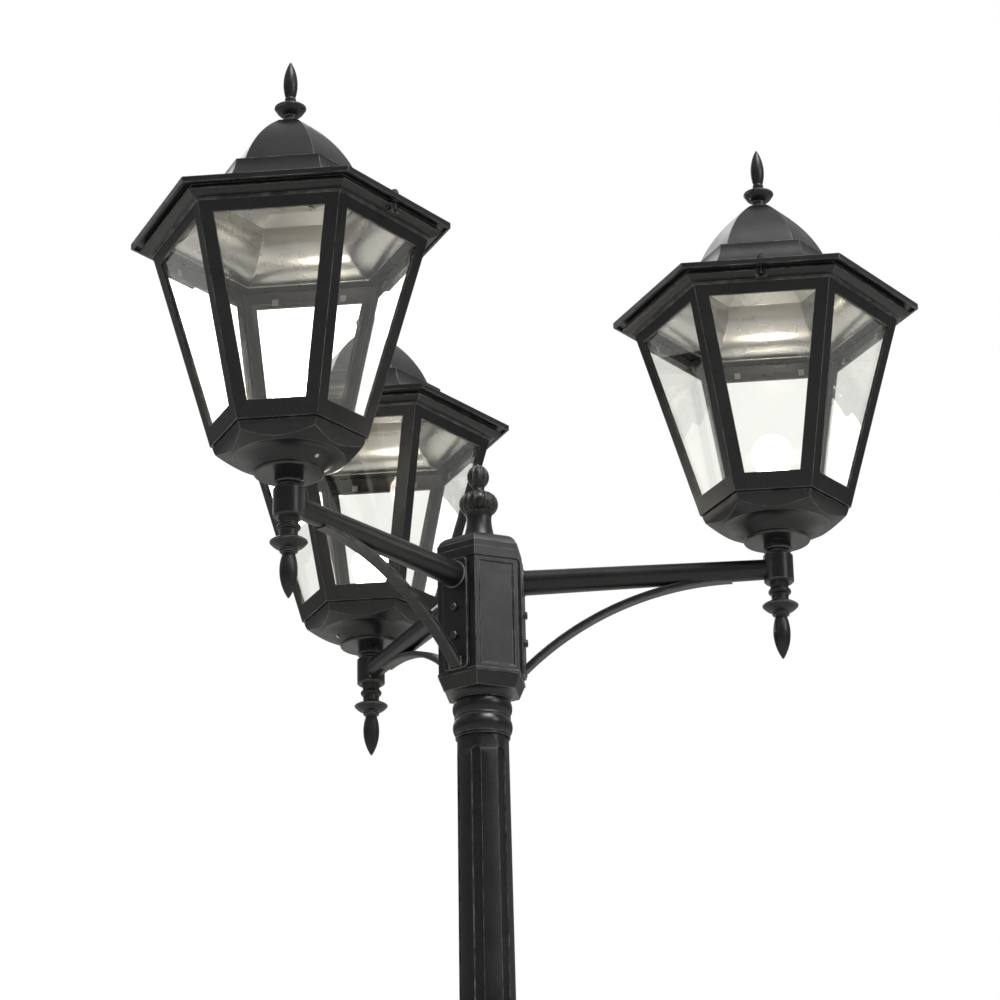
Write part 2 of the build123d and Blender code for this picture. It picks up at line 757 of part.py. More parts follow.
# ---- neck on the threaded pipe ----
def neck_outline(_):
    """Cylinder under the pan, a rounded ring and a waist with a bead."""
    ring_top = pan_disc_z - neck_cylinder_height
    ring_low = ring_top - neck_ring_height
    bead_half = neck_bead_radius - neck_waist_radius
    bead_z = (ring_low + sleeve_top) / 2
    Polyline((0, sleeve_top), (neck_waist_radius, sleeve_top), (neck_waist_radius, bead_z - bead_half / 2))
    ThreePointArc((neck_waist_radius, bead_z - bead_half / 2), (neck_bead_radius, bead_z),
                  (neck_waist_radius, bead_z + bead_half / 2))
    Polyline((neck_waist_radius, bead_z + bead_half / 2), (neck_waist_radius, ring_low),
             (neck_cylinder_radius, ring_low))
    ThreePointArc((neck_cylinder_radius, ring_low), (neck_ring_radius, ring_low + neck_ring_height / 2),
                  (neck_cylinder_radius, ring_top))
    Polyline((neck_cylinder_radius, ring_top), (neck_cylinder_radius, pan_disc_z), (0, pan_disc_z),
             (0, sleeve_top))


with BuildPart() as neck:
    add(turned(neck_outline))
    with BuildSketch(Plane.XY.offset(sleeve_top - nipple_into_sleeve)):
        Circle(nipple_radius)
    extrude(amount=pan_disc_z + nipple_into_pan - sleeve_top + nipple_into_sleeve)
    with BuildSketch(Plane.XY.offset(sleeve_top - nipple_into_sleeve)):
        Circle(nipple_bore)
    extrude(amount=pan_disc_z + nipple_into_pan - sleeve_top + nipple_into_sleeve, mode=Mode.SUBTRACT)
neck.part.label = "neck"

# ---- sleeve at the arm's end ----
socket_floor = sleeve_radius - tube_into_sleeve
with BuildPart() as arm_sleeve:
    with BuildSketch(Plane.XY.offset(sleeve_bottom)):
        Circle(sleeve_radius)
    extrude(amount=sleeve_length)
    chamfer(arm_sleeve.edges().filter_by(GeomType.CIRCLE), length=sleeve_chamfer)
    with BuildSketch(Plane.XY.offset(sleeve_bottom)):
        Circle(nipple_radius + seat_fit)
    extrude(amount=sleeve_length, mode=Mode.SUBTRACT)
    with BuildSketch(Plane.YZ.offset(-socket_floor)):
        Circle(tube_end_radius + seat_fit)
    extrude(amount=-2 * tube_into_sleeve, mode=Mode.SUBTRACT)
    with BuildSketch(Plane.YZ.offset(-socket_floor)):
        Circle(tube_bore)
    extrude(amount=socket_floor, mode=Mode.SUBTRACT)
arm_sleeve.part.label = "arm_sleeve"


# ---- drop finial ----
def drop_outline(_):
    """Neck, torus, waist, flared bowl, ring and a hanging bud."""
    torus_top = sleeve_bottom - drop_neck_length
    torus_low = torus_top - drop_torus_height
    waist_low = torus_low - drop_waist_length
    flange_z = sleeve_bottom - drop_flange_drop
    bowl_z = sleeve_bottom - drop_bowl_drop
    ring_z = bowl_z - drop_ring_height
    bud_z = sleeve_bottom - drop_bud_drop
    tip_z = sleeve_bottom - drop_length
    torus_neck = drop_torus_radius - 4
    bud_neck = drop_bud_radius - 4
    Polyline((0, sleeve_bottom), (drop_neck_radius, sleeve_bottom), (torus_neck, torus_top))
    ThreePointArc((torus_neck, torus_top), (drop_torus_radius, (torus_top + torus_low) / 2), (torus_neck, torus_low))
    Line((torus_neck, torus_low), (drop_waist_radius, waist_low))
    RadiusArc((drop_waist_radius, waist_low), (drop_flange_radius - 1, flange_z + 1.5), 2 * drop_flange_radius)
    ThreePointArc((drop_flange_radius - 1, flange_z + 1.5), (drop_flange_radius, flange_z),
                  (drop_flange_radius - 1, flange_z - 1.5))
    RadiusArc((drop_flange_radius - 1, flange_z - 1.5), (drop_bowl_radius, bowl_z), drop_flange_radius)
    ThreePointArc((drop_bowl_radius, bowl_z), (drop_bowl_radius + 1, (bowl_z + ring_z) / 2),
                  (drop_bowl_radius - 1, ring_z))
    Line((drop_bowl_radius - 1, ring_z), (bud_neck, ring_z - 1))
    ThreePointArc((bud_neck, ring_z - 1), (drop_bud_radius, bud_z), (tip_width, tip_z + tip_rise))
    rounded_tip(tip_width, tip_z + tip_rise, tip_z)
    Line((0, tip_z), (0, sleeve_bottom))


with BuildPart() as drop_finial:
    add(turned(drop_outline))
    with BuildSketch(Plane.XY.offset(sleeve_bottom)):
        Circle(nipple_radius)
    extrude(amount=drop_spigot)
drop_finial.part.label = "drop_finial"

# ---- arm, drawn along +X from the mast's axis ----
plate_face = hub_flat + plate_thickness
tube_end = arm_reach - socket_floor
plate_top = hub_body_top - plate_top_gap
with BuildPart() as arm_tube:
    with BuildSketch(Plane.XZ):
        Polygon((plate_face, 0), (plate_face, tube_hub_radius), (arm_reach - sleeve_radius, tube_end_radius),
                (tube_end, tube_end_radius), (tube_end, 0), align=None)
    revolve(axis=Axis.X)
    with BuildSketch(Plane.YZ.offset(plate_face)):
        Circle(tube_spigot_radius)
    extrude(amount=-tube_spigot)
    with BuildSketch(Plane.YZ.offset(plate_face - tube_spigot)):
        Circle(tube_bore)
    extrude(amount=tube_end - plate_face + tube_spigot, mode=Mode.SUBTRACT)
arm_tube.part.label = "arm_tube"

bolt_places = [(0, -bolt_upper_drop), (0, -bolt_upper_drop - bolt_pitch)]
with BuildPart() as arm_plate:
    with BuildSketch(Plane.YZ.offset(hub_flat)):
        with Locations((0, plate_top - plate_height / 2)):
            RectangleRounded(plate_width, plate_height, plate_corner)
    extrude(amount=plate_thickness)
    chamfer(arm_plate.faces().sort_by(Axis.X)[-1].edges(), length=plate_edge)
    with BuildSketch(Plane.YZ.offset(hub_flat)):
        Circle(tube_spigot_radius + seat_fit)
        with Locations(*bolt_places):
            Circle(bolt_shank_radius + seat_fit)
    extrude(amount=plate_thickness, mode=Mode.SUBTRACT)
arm_plate.part.label = "arm_plates"

with BuildPart() as arm_plate_bolts:
    with BuildSketch(Plane.YZ.offset(plate_face)):
        with Locations(*bolt_places):
            RegularPolygon(bolt_head_radius, 6)
    extrude(amount=bolt_head_height)
    chamfer(arm_plate_bolts.faces().filter_by(Axis.X).group_by(Axis.X)[-1].edges(), length=bolt_head_edge)
    with BuildSketch(Plane.YZ.offset(plate_face)):
        with Locations(*bolt_places):
            Circle(bolt_shank_radius)
    extrude(amount=-bolt_shank_length)
arm_plate_bolts.part.label = "arm_plate_bolts"

brace_outer = brace_radius + brace_depth / 2
brace_inner = brace_radius - brace_depth / 2
brace_centre_z = -brace_crown_drop - brace_radius
brace_run = brace_crown_reach - plate_face
with BuildPart() as arm_brace:
    with BuildSketch(Plane.XZ):
        with BuildLine():
            foot_high = (plate_face, brace_centre_z + sqrt(brace_outer ** 2 - brace_run ** 2))
            foot_low = (plate_face, brace_centre_z + sqrt(brace_inner ** 2 - brace_run ** 2))
            crown_high = (brace_crown_reach, brace_centre_z + brace_outer)
            crown_low = (brace_crown_reach, brace_centre_z + brace_inner)
            RadiusArc(foot_high, crown_high, brace_outer)
            RadiusArc(foot_low, crown_low, brace_inner)
            Line(foot_high, foot_low)
            Line(crown_high, crown_low)
        make_face()
    extrude(amount=brace_width / 2, both=True)
    chamfer(arm_brace.edges().filter_by(GeomType.CIRCLE), length=brace_edge)
    with BuildSketch(Plane.XZ):
        Polygon((plate_face - 1, 0), (plate_face - 1, tube_hub_radius + seat_fit),
                (plate_face, tube_hub_radius + seat_fit), (arm_reach - sleeve_radius, tube_end_radius + seat_fit),
                (arm_reach, 0), align=None)
    revolve(axis=Axis.X, mode=Mode.SUBTRACT)
arm_brace.part.label = "arm_brace"

# ---- hub ----
hub_face_half = hub_flat * half_turn
with BuildPart() as hub_body:
    add(hexagonal_ring(hub_flat, 0, hub_body_bottom, hub_body_top, first_flat=0))
    add(hexagonal_ring(hub_flat + hub_rail_proud, 0, hub_body_bottom, hub_body_bottom + hub_rail, first_flat=0))
    panel_height = hub_body_height - hub_rail - 2 * hub_panel_margin
    panel_middle = hub_body_bottom + hub_rail + hub_panel_margin + panel_height / 2
    with BuildSketch(*[facing(flat, hub_flat, panel_middle) for flat in (60, 180, 300)]):
        Rectangle(2 * (hub_face_half - hub_panel_margin), panel_height)
    extrude(amount=-hub_panel_depth, taper=45, mode=Mode.SUBTRACT)
    with BuildSketch(Plane.XY.offset(hub_body_bottom)):
        Circle(hub_bore)
    extrude(amount=hub_body_height, mode=Mode.SUBTRACT)
    for azimuth in arm_angles:
        with BuildSketch(facing(azimuth, hub_flat)):
            Circle(tube_spigot_radius + seat_fit)
            with Locations(*bolt_places):
                Circle(bolt_shank_radius + seat_fit)
        extrude(amount=-hub_flat + hub_bore / 2, mode=Mode.SUBTRACT)
hub_body.part.label = "hub_body"


# ---- hub cap ----
cap_top_z = hub_body_top + cap_band_height + cap_height


def hub_cap_outline(wall):
    """Band, short side with a fine step, and rounded shoulder."""
    band_z = hub_body_top + cap_band_height
    side_z = band_z + cap_side_height
    band = hub_flat + cap_band_proud
    step = hub_flat - cap_step
    if wall:
        Polyline((0, hub_body_top), (step - wall, hub_body_top), (step - wall, side_z))
    else:
        Polyline((0, hub_body_top), (band, hub_body_top), (band, band_z), (hub_flat, band_z),
                 (hub_flat, side_z), (step, side_z))
    RadiusArc((step - wall, side_z), (step - cap_shoulder, cap_top_z - wall), -cap_shoulder)
    Polyline((step - cap_shoulder, cap_top_z - wall), (0, cap_top_z - wall), (0, hub_body_top))


hub_cap_body = hexagonal(hub_cap_outline, first_flat=0)
hub_cap_hollow = hexagonal(hub_cap_outline, first_flat=0, wall=cap_wall)
with BuildPart() as hub_cap:
    add(hub_cap_body)
    add(hub_cap_hollow, mode=Mode.SUBTRACT)
    with BuildSketch(Plane.XY.offset(cap_top_z)):
        Circle(hub_spigot_radius + seat_fit)
    extrude(amount=-cap_wall, mode=Mode.SUBTRACT)
hub_cap.part.label = "hub_cap"

# ---- hub finial ----
melon_base = (hub_melon_base_radius, cap_top_z + hub_melon_base_rise)
melon_wide = (hub_melon_radius, cap_top_z + hub_melon_rise)
melon_top = (hub_melon_top_radius, cap_top_z + hub_melon_top_rise)
bud_base = (hub_waist_radius + 2, cap_top_z + hub_bud_base_rise)
bud_wide = (hub_bud_radius, cap_top_z + hub_bud_rise)
bud_tip = (hub_tip_width, cap_top_z + hub_finial_height - hub_tip_rise)


def hub_finial_outline(_):
    """Flared foot, neck, lobed melon, waist and ribbed bud."""
    foot = hub_finial_base_radius
    foot_z = cap_top_z + hub_finial_base_height
    neck = (hub_finial_neck_radius, cap_top_z + hub_finial_neck_rise)
    waist = (hub_waist_radius, cap_top_z + hub_waist_rise)
    Polyline((0, cap_top_z), (foot, cap_top_z), (foot, foot_z - 2), (foot - 2, foot_z))
    RadiusArc((foot - 2, foot_z), neck, 2.5 * hub_finial_neck_rise)
    RadiusArc(neck, melon_base, hub_finial_neck_radius)
    ThreePointArc(melon_base, melon_wide, melon_top)
    ThreePointArc(melon_top, waist, bud_base)
    ThreePointArc(bud_base, bud_wide, bud_tip)
    rounded_tip(*bud_tip, cap_top_z + hub_finial_height)
    Line((0, cap_top_z + hub_finial_height), (0, cap_top_z))


with BuildPart() as melon_groove:
    with BuildLine(Plane.XZ) as melon_edge:
        ThreePointArc(melon_base, melon_wide, melon_top)
    with BuildSketch(Plane(melon_edge.line @ 0, z_dir=melon_edge.line % 0)):
        Circle(gadroon_radius)
    sweep(path=melon_edge.line)
with BuildPart() as bud_groove:
    with BuildLine(Plane.XZ) as bud_edge:
        ThreePointArc(bud_base, bud_wide, bud_tip)
    with BuildSketch(Plane(bud_edge.line @ 0, z_dir=bud_edge.line % 0)):
        Circle(bud_rib_radius)
    sweep(path=bud_edge.line)
with BuildPart() as hub_finial:
    add(turned(hub_finial_outline))
    with PolarLocations(0, gadroon_count):
        add(melon_groove.part, mode=Mode.SUBTRACT)
    with PolarLocations(0, bud_rib_count):
        add(bud_groove.part, mode=Mode.SUBTRACT)
    with BuildSketch(Plane.XY.offset(cap_top_z)):
        Circle(hub_spigot_radius)
    extrude(amount=-hub_spigot)
hub_finial.part.label = "hub_finial"


# ---- collar ----
def flange_outline(_):
    low = hub_body_bottom - collar_flange_height
    Polyline((0, hub_body_bottom), (hub_flat, hub_body_bottom), (hub_flat - collar_flange_draw, low), (0, low),
             close=True)


def collar_outline(_):
    """Cove, torus, fine ring and second torus."""
    cove_z = hub_body_bottom - collar_flange_height
    neck = collar_neck_radius
    neck_z = cove_z - collar_cove_drop
    torus_z = neck_z - collar_torus_height
    ring_z = torus_z - collar_ring_height
    second_z = ring_z - collar_torus_height
    Line((0, cove_z), (collar_cove_radius, cove_z))
    RadiusArc((collar_cove_radius, cove_z), (neck, neck_z), -1.2 * collar_cove_drop)
    ThreePointArc((neck, neck_z), (collar_torus_radius, (neck_z + torus_z) / 2), (neck, torus_z))
    ThreePointArc((neck, torus_z), (collar_ring_radius, (torus_z + ring_z) / 2), (neck, ring_z))
    ThreePointArc((neck, ring_z), (collar_torus_radius, (ring_z + second_z) / 2), (neck, second_z))
    Polyline((neck, second_z), (neck, collar_bottom), (0, collar_bottom), (0, cove_z))


collar_bore_z = collar_bottom + mast_into_collar
with BuildPart() as collar:
    add(hexagonal(flange_outline, first_flat=0))
    add(turned(collar_outline))
    with BuildSketch(Plane.XZ):
        Polygon((0, collar_bore_z), (mast_top_radius + seat_fit, collar_bore_z),
                (mast_top_radius + mast_taper * mast_into_collar + seat_fit, collar_bottom), (0, collar_bottom),
                align=None)
    revolve(axis=Axis.Z, mode=Mode.SUBTRACT)
    with BuildSketch(Plane.XY.offset(hub_body_bottom)):
        Circle(cable_bore)
    extrude(amount=-collar_length, mode=Mode.SUBTRACT)
collar.part.label = "collar"

# ---- mast, from here on heights are above the ground ----
mast_length = mast_top - mast_seat_z
mast_foot_radius = mast_top_radius + mast_taper * mast_length
flute_top = arm_height + collar_bottom - flute_top_gap
flute_foot = pedestal_top + flute_foot_gap
flute_middle = (flute_top + flute_foot) / 2
flute_surface = mast_top_radius + mast_taper * (mast_top - flute_middle)
flute_tilt = -degrees(atan2(mast_taper, 1))
with BuildPart() as mast:
    with BuildSketch(Plane.XZ):
        Polygon((mast_top_radius, mast_top), (mast_foot_radius, mast_seat_z),
                (mast_foot_radius - mast_wall, mast_seat_z), (mast_top_radius - mast_wall, mast_top), align=None)
    revolve(axis=Axis.Z)
    for turn in range(flute_count):
        surface = facing(flute_azimuth + turn * 360 / flute_count, flute_surface, flute_middle)
        outward = surface.z_dir.rotate(Axis(surface.origin, surface.x_dir), flute_tilt)
        with BuildSketch(Plane(surface.origin, surface.x_dir, outward).offset(-flute_depth)):
            SlotOverall(flute_top - flute_foot, flute_width, rotation=90)
        extrude(amount=2 * flute_depth, mode=Mode.SUBTRACT)
mast.part.label = "mast"


# ---- pedestal ----
def pedestal_outline(_):
    """Plinth, cove, shaft and top rail."""
    rail = pedestal_flat + pedestal_rail_proud
    lip = plinth_flat - plinth_lip
    Polyline((0, 0), (plinth_flat, 0), (plinth_flat, plinth_height), (lip, plinth_height))
    RadiusArc((lip, plinth_height), (pedestal_flat, plinth_rise), plinth_cove)
    Polyline((pedestal_flat, plinth_rise), (pedestal_flat, shaft_top - pedestal_rail),
             (rail, shaft_top - pedestal_rail), (rail, shaft_top), (0, shaft_top), (0, 0))


def pedestal_top_outline(_):
    """Shoulder, cove, torus, neck and top ring."""
    low = shaft_top - pedestal_wall
    step_z = shaft_top + shoulder_step
    neck = shoulder_neck_radius
    torus_z = shoulder_neck_z + pedestal_torus_height
    ring_z = pedestal_top - pedestal_ring_height
    Polyline((0, low), (shoulder_radius, low), (shoulder_radius, step_z))
    RadiusArc((shoulder_radius, step_z), (neck, shoulder_neck_z), shoulder_cove)
    ThreePointArc((neck, shoulder_neck_z), (pedestal_torus_radius, shoulder_neck_z + pedestal_torus_height / 2),
                  (neck, torus_z))
    Polyline((neck, torus_z), (pedestal_neck_radius, torus_z), (pedestal_neck_radius, ring_z))
    ThreePointArc((pedestal_neck_radius, ring_z), (pedestal_ring_radius, ring_z + pedestal_ring_height / 2),
                  (pedestal_neck_radius, pedestal_top))
    Polyline((pedestal_neck_radius, pedestal_top), (0, pedestal_top), (0, low))


def plan(azimuth, height):
    """Horizontal drawing plane: x runs outward at the azimuth."""
    return Plane((0, 0, height), Vector(1, 0, 0).rotate(Axis.Z, azimuth), (0, 0, 1))


recess_half = pedestal_flat * half_turn - pedestal_panel_margin
recess_low = plinth_rise + pedestal_panel_margin
recess_high = shaft_top - pedestal_rail - pedestal_panel_margin
door_half = recess_half - door_side_gap
door_back = pedestal_flat - pedestal_panel_depth
door_front = door_back + door_thickness
door_hinge_flat = door_front + moving_gap + door_knuckle_radius
opening_half = door_half - door_land
opening_height = door_height - 2 * door_land
lock_across = door_half - lock_inset
wall_inside = pedestal_flat - pedestal_wall
lug_step = door_knuckle_length + moving_gap
with BuildPart() as pedestal:
    add(hexagonal(pedestal_outline, first_flat=0))
    add(hexagonal_ring(wall_inside, 0, 0, shaft_top - pedestal_wall, first_flat=0), mode=Mode.SUBTRACT)
    add(turned(pedestal_top_outline))
    with BuildSketch(*[facing(flat, pedestal_flat, (recess_low + recess_high) / 2) for flat in range(0, 360, 60)]):
        Rectangle(2 * recess_half, recess_high - recess_low)
    extrude(amount=-pedestal_panel_depth, mode=Mode.SUBTRACT)
    # cable way and mast socket
    with BuildSketch(Plane.XY.offset(mast_seat_z)):
        Circle(cable_bore)
    extrude(amount=-mast_seat_z / 2, mode=Mode.SUBTRACT)
    with BuildSketch(Plane.XZ):
        Polygon((0, mast_seat_z), (mast_foot_radius + seat_fit, mast_seat_z),
                (mast_foot_radius - mast_taper * (pedestal_top - mast_seat_z) + seat_fit, pedestal_top),
                (0, pedestal_top), align=None)
    revolve(axis=Axis.Z, mode=Mode.SUBTRACT)
    # anchor holes under the arms
    with BuildSketch():
        with PolarLocations(anchor_circle_radius, len(arm_angles)):
            Circle(anchor_hole_radius)
    extrude(amount=plinth_rise, mode=Mode.SUBTRACT)
    with BuildSketch(Plane.XY.offset(anchor_spot_z)):
        with PolarLocations(anchor_circle_radius, len(arm_angles)):
            Circle(anchor_spot_radius)
    extrude(amount=plinth_rise, mode=Mode.SUBTRACT)
    # door opening, lock tab and hinge lugs
    with BuildSketch(facing(door_azimuth, door_back, door_z)):
        Rectangle(2 * opening_half, opening_height)
    extrude(amount=-pedestal_wall, mode=Mode.SUBTRACT)
    with BuildSketch(facing(door_azimuth, wall_inside + 1, door_z)):
        with Locations((lock_across + lock_inset / 2, 0)):
            Rectangle(2 * lock_inset, lock_tab_height)
    extrude(amount=-lock_tab_thickness)
    with BuildSketch(facing(door_azimuth, wall_inside + 1, door_z)):
        with Locations((lock_across + lock_slot_run / 2, 0)):
            SlotCenterToCenter(lock_slot_run, 2 * (lock_radius + lock_slot_play))
    extrude(amount=-lock_tab_thickness, mode=Mode.SUBTRACT)
    for side in (-1, 1):
        with BuildSketch(plan(door_azimuth, door_z + side * (door_knuckle_spread + lug_step))):
            with Locations((door_hinge_flat, -door_half)):
                Circle(door_knuckle_radius)
            with Locations((pedestal_flat - 1, -recess_half)):
                Rectangle(door_hinge_flat - pedestal_flat + 1, lug_foot, align=(Align.MIN, Align.MAX))
        extrude(amount=door_knuckle_length / 2, both=True)
        with BuildSketch(plan(door_azimuth, door_z + side * (door_knuckle_spread + lug_step))):
            with Locations((door_hinge_flat, -door_half)):
                Circle(door_pin_radius + seat_fit)
        extrude(amount=door_knuckle_length / 2, both=True, mode=Mode.SUBTRACT)
pedestal.part.label = "pedestal"

with BuildPart() as pedestal_door:
    with BuildSketch(facing(door_azimuth, door_back, door_z)):
        Rectangle(2 * door_half, door_height)
    extrude(amount=door_thickness)
    with BuildSketch(facing(door_azimuth, door_back, door_z)):
        with Locations((lock_across, 0)):
            Circle(lock_radius + running_fit)
    extrude(amount=door_thickness, mode=Mode.SUBTRACT)
    for side in (-1, 1):
        with BuildSketch(plan(door_azimuth, door_z + side * door_knuckle_spread)):
            with Locations((door_hinge_flat, -door_half)):
                Circle(door_knuckle_radius)
            with Locations((door_front - 1, -door_half)):
                Rectangle(door_hinge_flat - door_front + 1, door_knuckle_radius, align=Align.MIN)
        extrude(amount=door_knuckle_length / 2, both=True)
        with BuildSketch(plan(door_azimuth, door_z + side * door_knuckle_spread)):
            with Locations((door_hinge_flat, -door_half)):
                Circle(door_pin_radius + running_fit)
        extrude(amount=door_knuckle_length / 2, both=True, mode=Mode.SUBTRACT)
pedestal_door.part.label = "pedestal_door"

with BuildPart() as door_hinge_pins:
    for side in (-1, 1):
        with BuildSketch(plan(door_azimuth, door_z + side * (door_knuckle_spread + lug_step / 2))):
            with Locations((door_hinge_flat, -door_half)):
                Circle(door_pin_radius)
        extrude(amount=door_knuckle_length + moving_gap / 2, both=True)
door_hinge_pins.part.label = "door_hinge_pins"

with BuildPart() as door_lock_screw:
    with BuildSketch(facing(door_azimuth, door_front, door_z)):
        with Locations((lock_across, 0)):
            Circle(lock_head_radius)
    extrude(amount=lock_head_height)
    head_circles = door_lock_screw.edges().filter_by(GeomType.CIRCLE)
    chamfer(head_circles.sort_by(Axis((0, 0, 0), facing(door_azimuth, door_front).z_dir))[-1], length=lock_head_edge)
    with BuildSketch(facing(door_azimuth, door_front, door_z)):
        with Locations((lock_across, 0)):
            Circle(lock_radius)
    extrude(amount=-door_thickness - lock_reach)
door_lock_screw.part.label = "door_lock_screw"

terminal_azimuth = door_azimuth + 180
with BuildPart() as terminal_board:
    with BuildSketch(facing(terminal_azimuth, wall_inside, door_z)):
        Rectangle(terminal_width, terminal_height)
    extrude(amount=-terminal_depth)
terminal_board.part.label = "terminal_board"


# ---- placing and saving ----
def placed(piece, turn, reach=0.0, azimuth=0.0):
    """Copy of a piece drawn at the arm's height, turned and moved out along an arm."""
    way = Vector(reach, 0, arm_height).rotate(Axis.Z, azimuth)
    return piece.moved(Location(way, (0, 0, turn)))


def save(piece, name):
    piece.label = name
    export_step(piece, f"parts/{name}.step")


os.makedirs("parts", exist_ok=True)
lantern_pieces = {"cage": cage, "panes": panes, "hood": hood, "hood_finial": hood_finial,
                  "latch_screw": latch_screw, "reflector": reflector, "reflector_plate": reflector_plate,
                  "lamp_holder": lamp_holder, "lamp": lamp}
arm_end_pieces = {"pan": pan, "neck": neck, "arm_sleeve": arm_sleeve, "drop_finial": drop_finial}
arm_pieces = {"arm_tube": arm_tube, "arm_brace": arm_brace}
for number, (azimuth, turn) in enumerate(zip(arm_angles, lantern_turns), start=1):
    for name, piece in lantern_pieces.items():
        save(placed(piece.part, turn, arm_reach, azimuth), f"{name}_{number}")
    for name, piece in arm_end_pieces.items():
        save(placed(piece.part, azimuth, arm_reach, azimuth), f"{name}_{number}")
    for name, piece in arm_pieces.items():
        save(placed(piece.part, azimuth), f"{name}_{number}")

# pieces that share a node, one group for all three arms
fittings = {"pane_clips": (pane_clips, arm_reach, lantern_turns), "pan_screws": (pan_screw, arm_reach, arm_angles),
            "hood_hinge_pins": (hood_hinge_pin, arm_reach, lantern_turns), "arm_plates": (arm_plate, 0, arm_angles),
            "arm_plate_bolts": (arm_plate_bolts, 0, arm_angles)}
for name, (piece, reach, turns) in fittings.items():
    solids = [solid for azimuth, turn in zip(arm_angles, turns)
              for solid in placed(piece.part, turn, reach, azimuth).solids()]
    save(Compound(children=solids), name)

for name, piece in {"hub_body": hub_body, "hub_cap": hub_cap, "hub_finial": hub_finial, "collar": collar}.items():
    save(placed(piece.part, 0), name)
for name, piece in {"mast": mast, "pedestal": pedestal, "pedestal_door": pedestal_door,
                    "door_hinge_pins": door_hinge_pins, "door_lock_screw": door_lock_screw,
                    "terminal_board": terminal_board}.items():
    save(piece.part, name)
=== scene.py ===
import json
import math

import bmesh
import bpy
from mathutils import Matrix, Vector


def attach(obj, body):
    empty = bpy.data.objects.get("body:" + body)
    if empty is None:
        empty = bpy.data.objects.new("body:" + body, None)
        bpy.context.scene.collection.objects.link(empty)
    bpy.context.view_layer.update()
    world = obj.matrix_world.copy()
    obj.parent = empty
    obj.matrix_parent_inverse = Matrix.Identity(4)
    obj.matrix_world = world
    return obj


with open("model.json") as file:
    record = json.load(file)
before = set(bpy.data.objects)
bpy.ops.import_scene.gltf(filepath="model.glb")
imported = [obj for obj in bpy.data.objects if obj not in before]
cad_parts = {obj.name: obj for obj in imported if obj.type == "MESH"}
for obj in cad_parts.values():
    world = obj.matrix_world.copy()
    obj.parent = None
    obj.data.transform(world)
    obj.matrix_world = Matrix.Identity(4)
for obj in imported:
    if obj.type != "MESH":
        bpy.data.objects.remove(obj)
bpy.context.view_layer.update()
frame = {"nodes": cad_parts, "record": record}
nodes = frame["nodes"]


# sizes shared with the solids, in metres; a lantern's heights are above its arm's axis
armHeight = 2.56
armReach = 0.45
armAngles = (0, 120, 240)
lanternTurns = (0, 120, 60)
lanternNumbers = (1, 2, 3)
lanternSides = 6
halfSide = math.radians(30)  # from the middle of a lantern's side to its corner
quarterTurn = math.radians(90)


def lanternPlace(index):
    # where a lantern's own axes stand in the whole post
    azimuth = math.radians(armAngles[index])
    spot = Vector((armReach * math.cos(azimuth), armReach * math.sin(azimuth), armHeight))
    return Matrix.Translation(spot) @ Matrix.Rotation(math.radians(lanternTurns[index]), 4, "Z")


def armPlace(index):
    # the arm's own axes: +X runs out along the arm, the origin is on the mast's axis
    turn = Matrix.Rotation(math.radians(armAngles[index]), 4, "Z")
    return Matrix.Translation((0, 0, armHeight)) @ turn


def colour(code):
    # an sRGB hex code as the linear colour that shaders take
    shares = [int(code[i:i + 2], 16) / 255 for i in (0, 2, 4)]
    return [s / 12.92 if s <= 0.04045 else ((s + 0.055) / 1.055) ** 2.4 for s in shares] + [1.0]


def feed(tree, node, sockets):
    # each named socket is given a value, or a link where the value is another node's output
    for name, value in sockets.items():
        if isinstance(value, bpy.types.NodeSocket):
            tree.links.new(value, node.inputs[name])
        else:
            node.inputs[name].default_value = value


def addNode(tree, kind, sockets=None, take=None, **settings):
    # a node with its settings and links; take names the one output to hand back
    node = tree.nodes.new(kind)
    for name, value in settings.items():
        setattr(node, name, value)
    feed(tree, node, sockets or {})
    return node if take is None else node.outputs[take]


def newMaterial(name, sockets):
    # a material with its one Principled shader, its constants set on the shader's own sockets
    made = bpy.data.materials.new(name)
    made.use_nodes = True
    shader = made.node_tree.nodes["Principled BSDF"]
    feed(made.node_tree, shader, sockets)
    return made, made.node_tree, shader


# in a Mix node for colours, socket 0 is the factor, 6 and 7 are the colours and output 2 the result

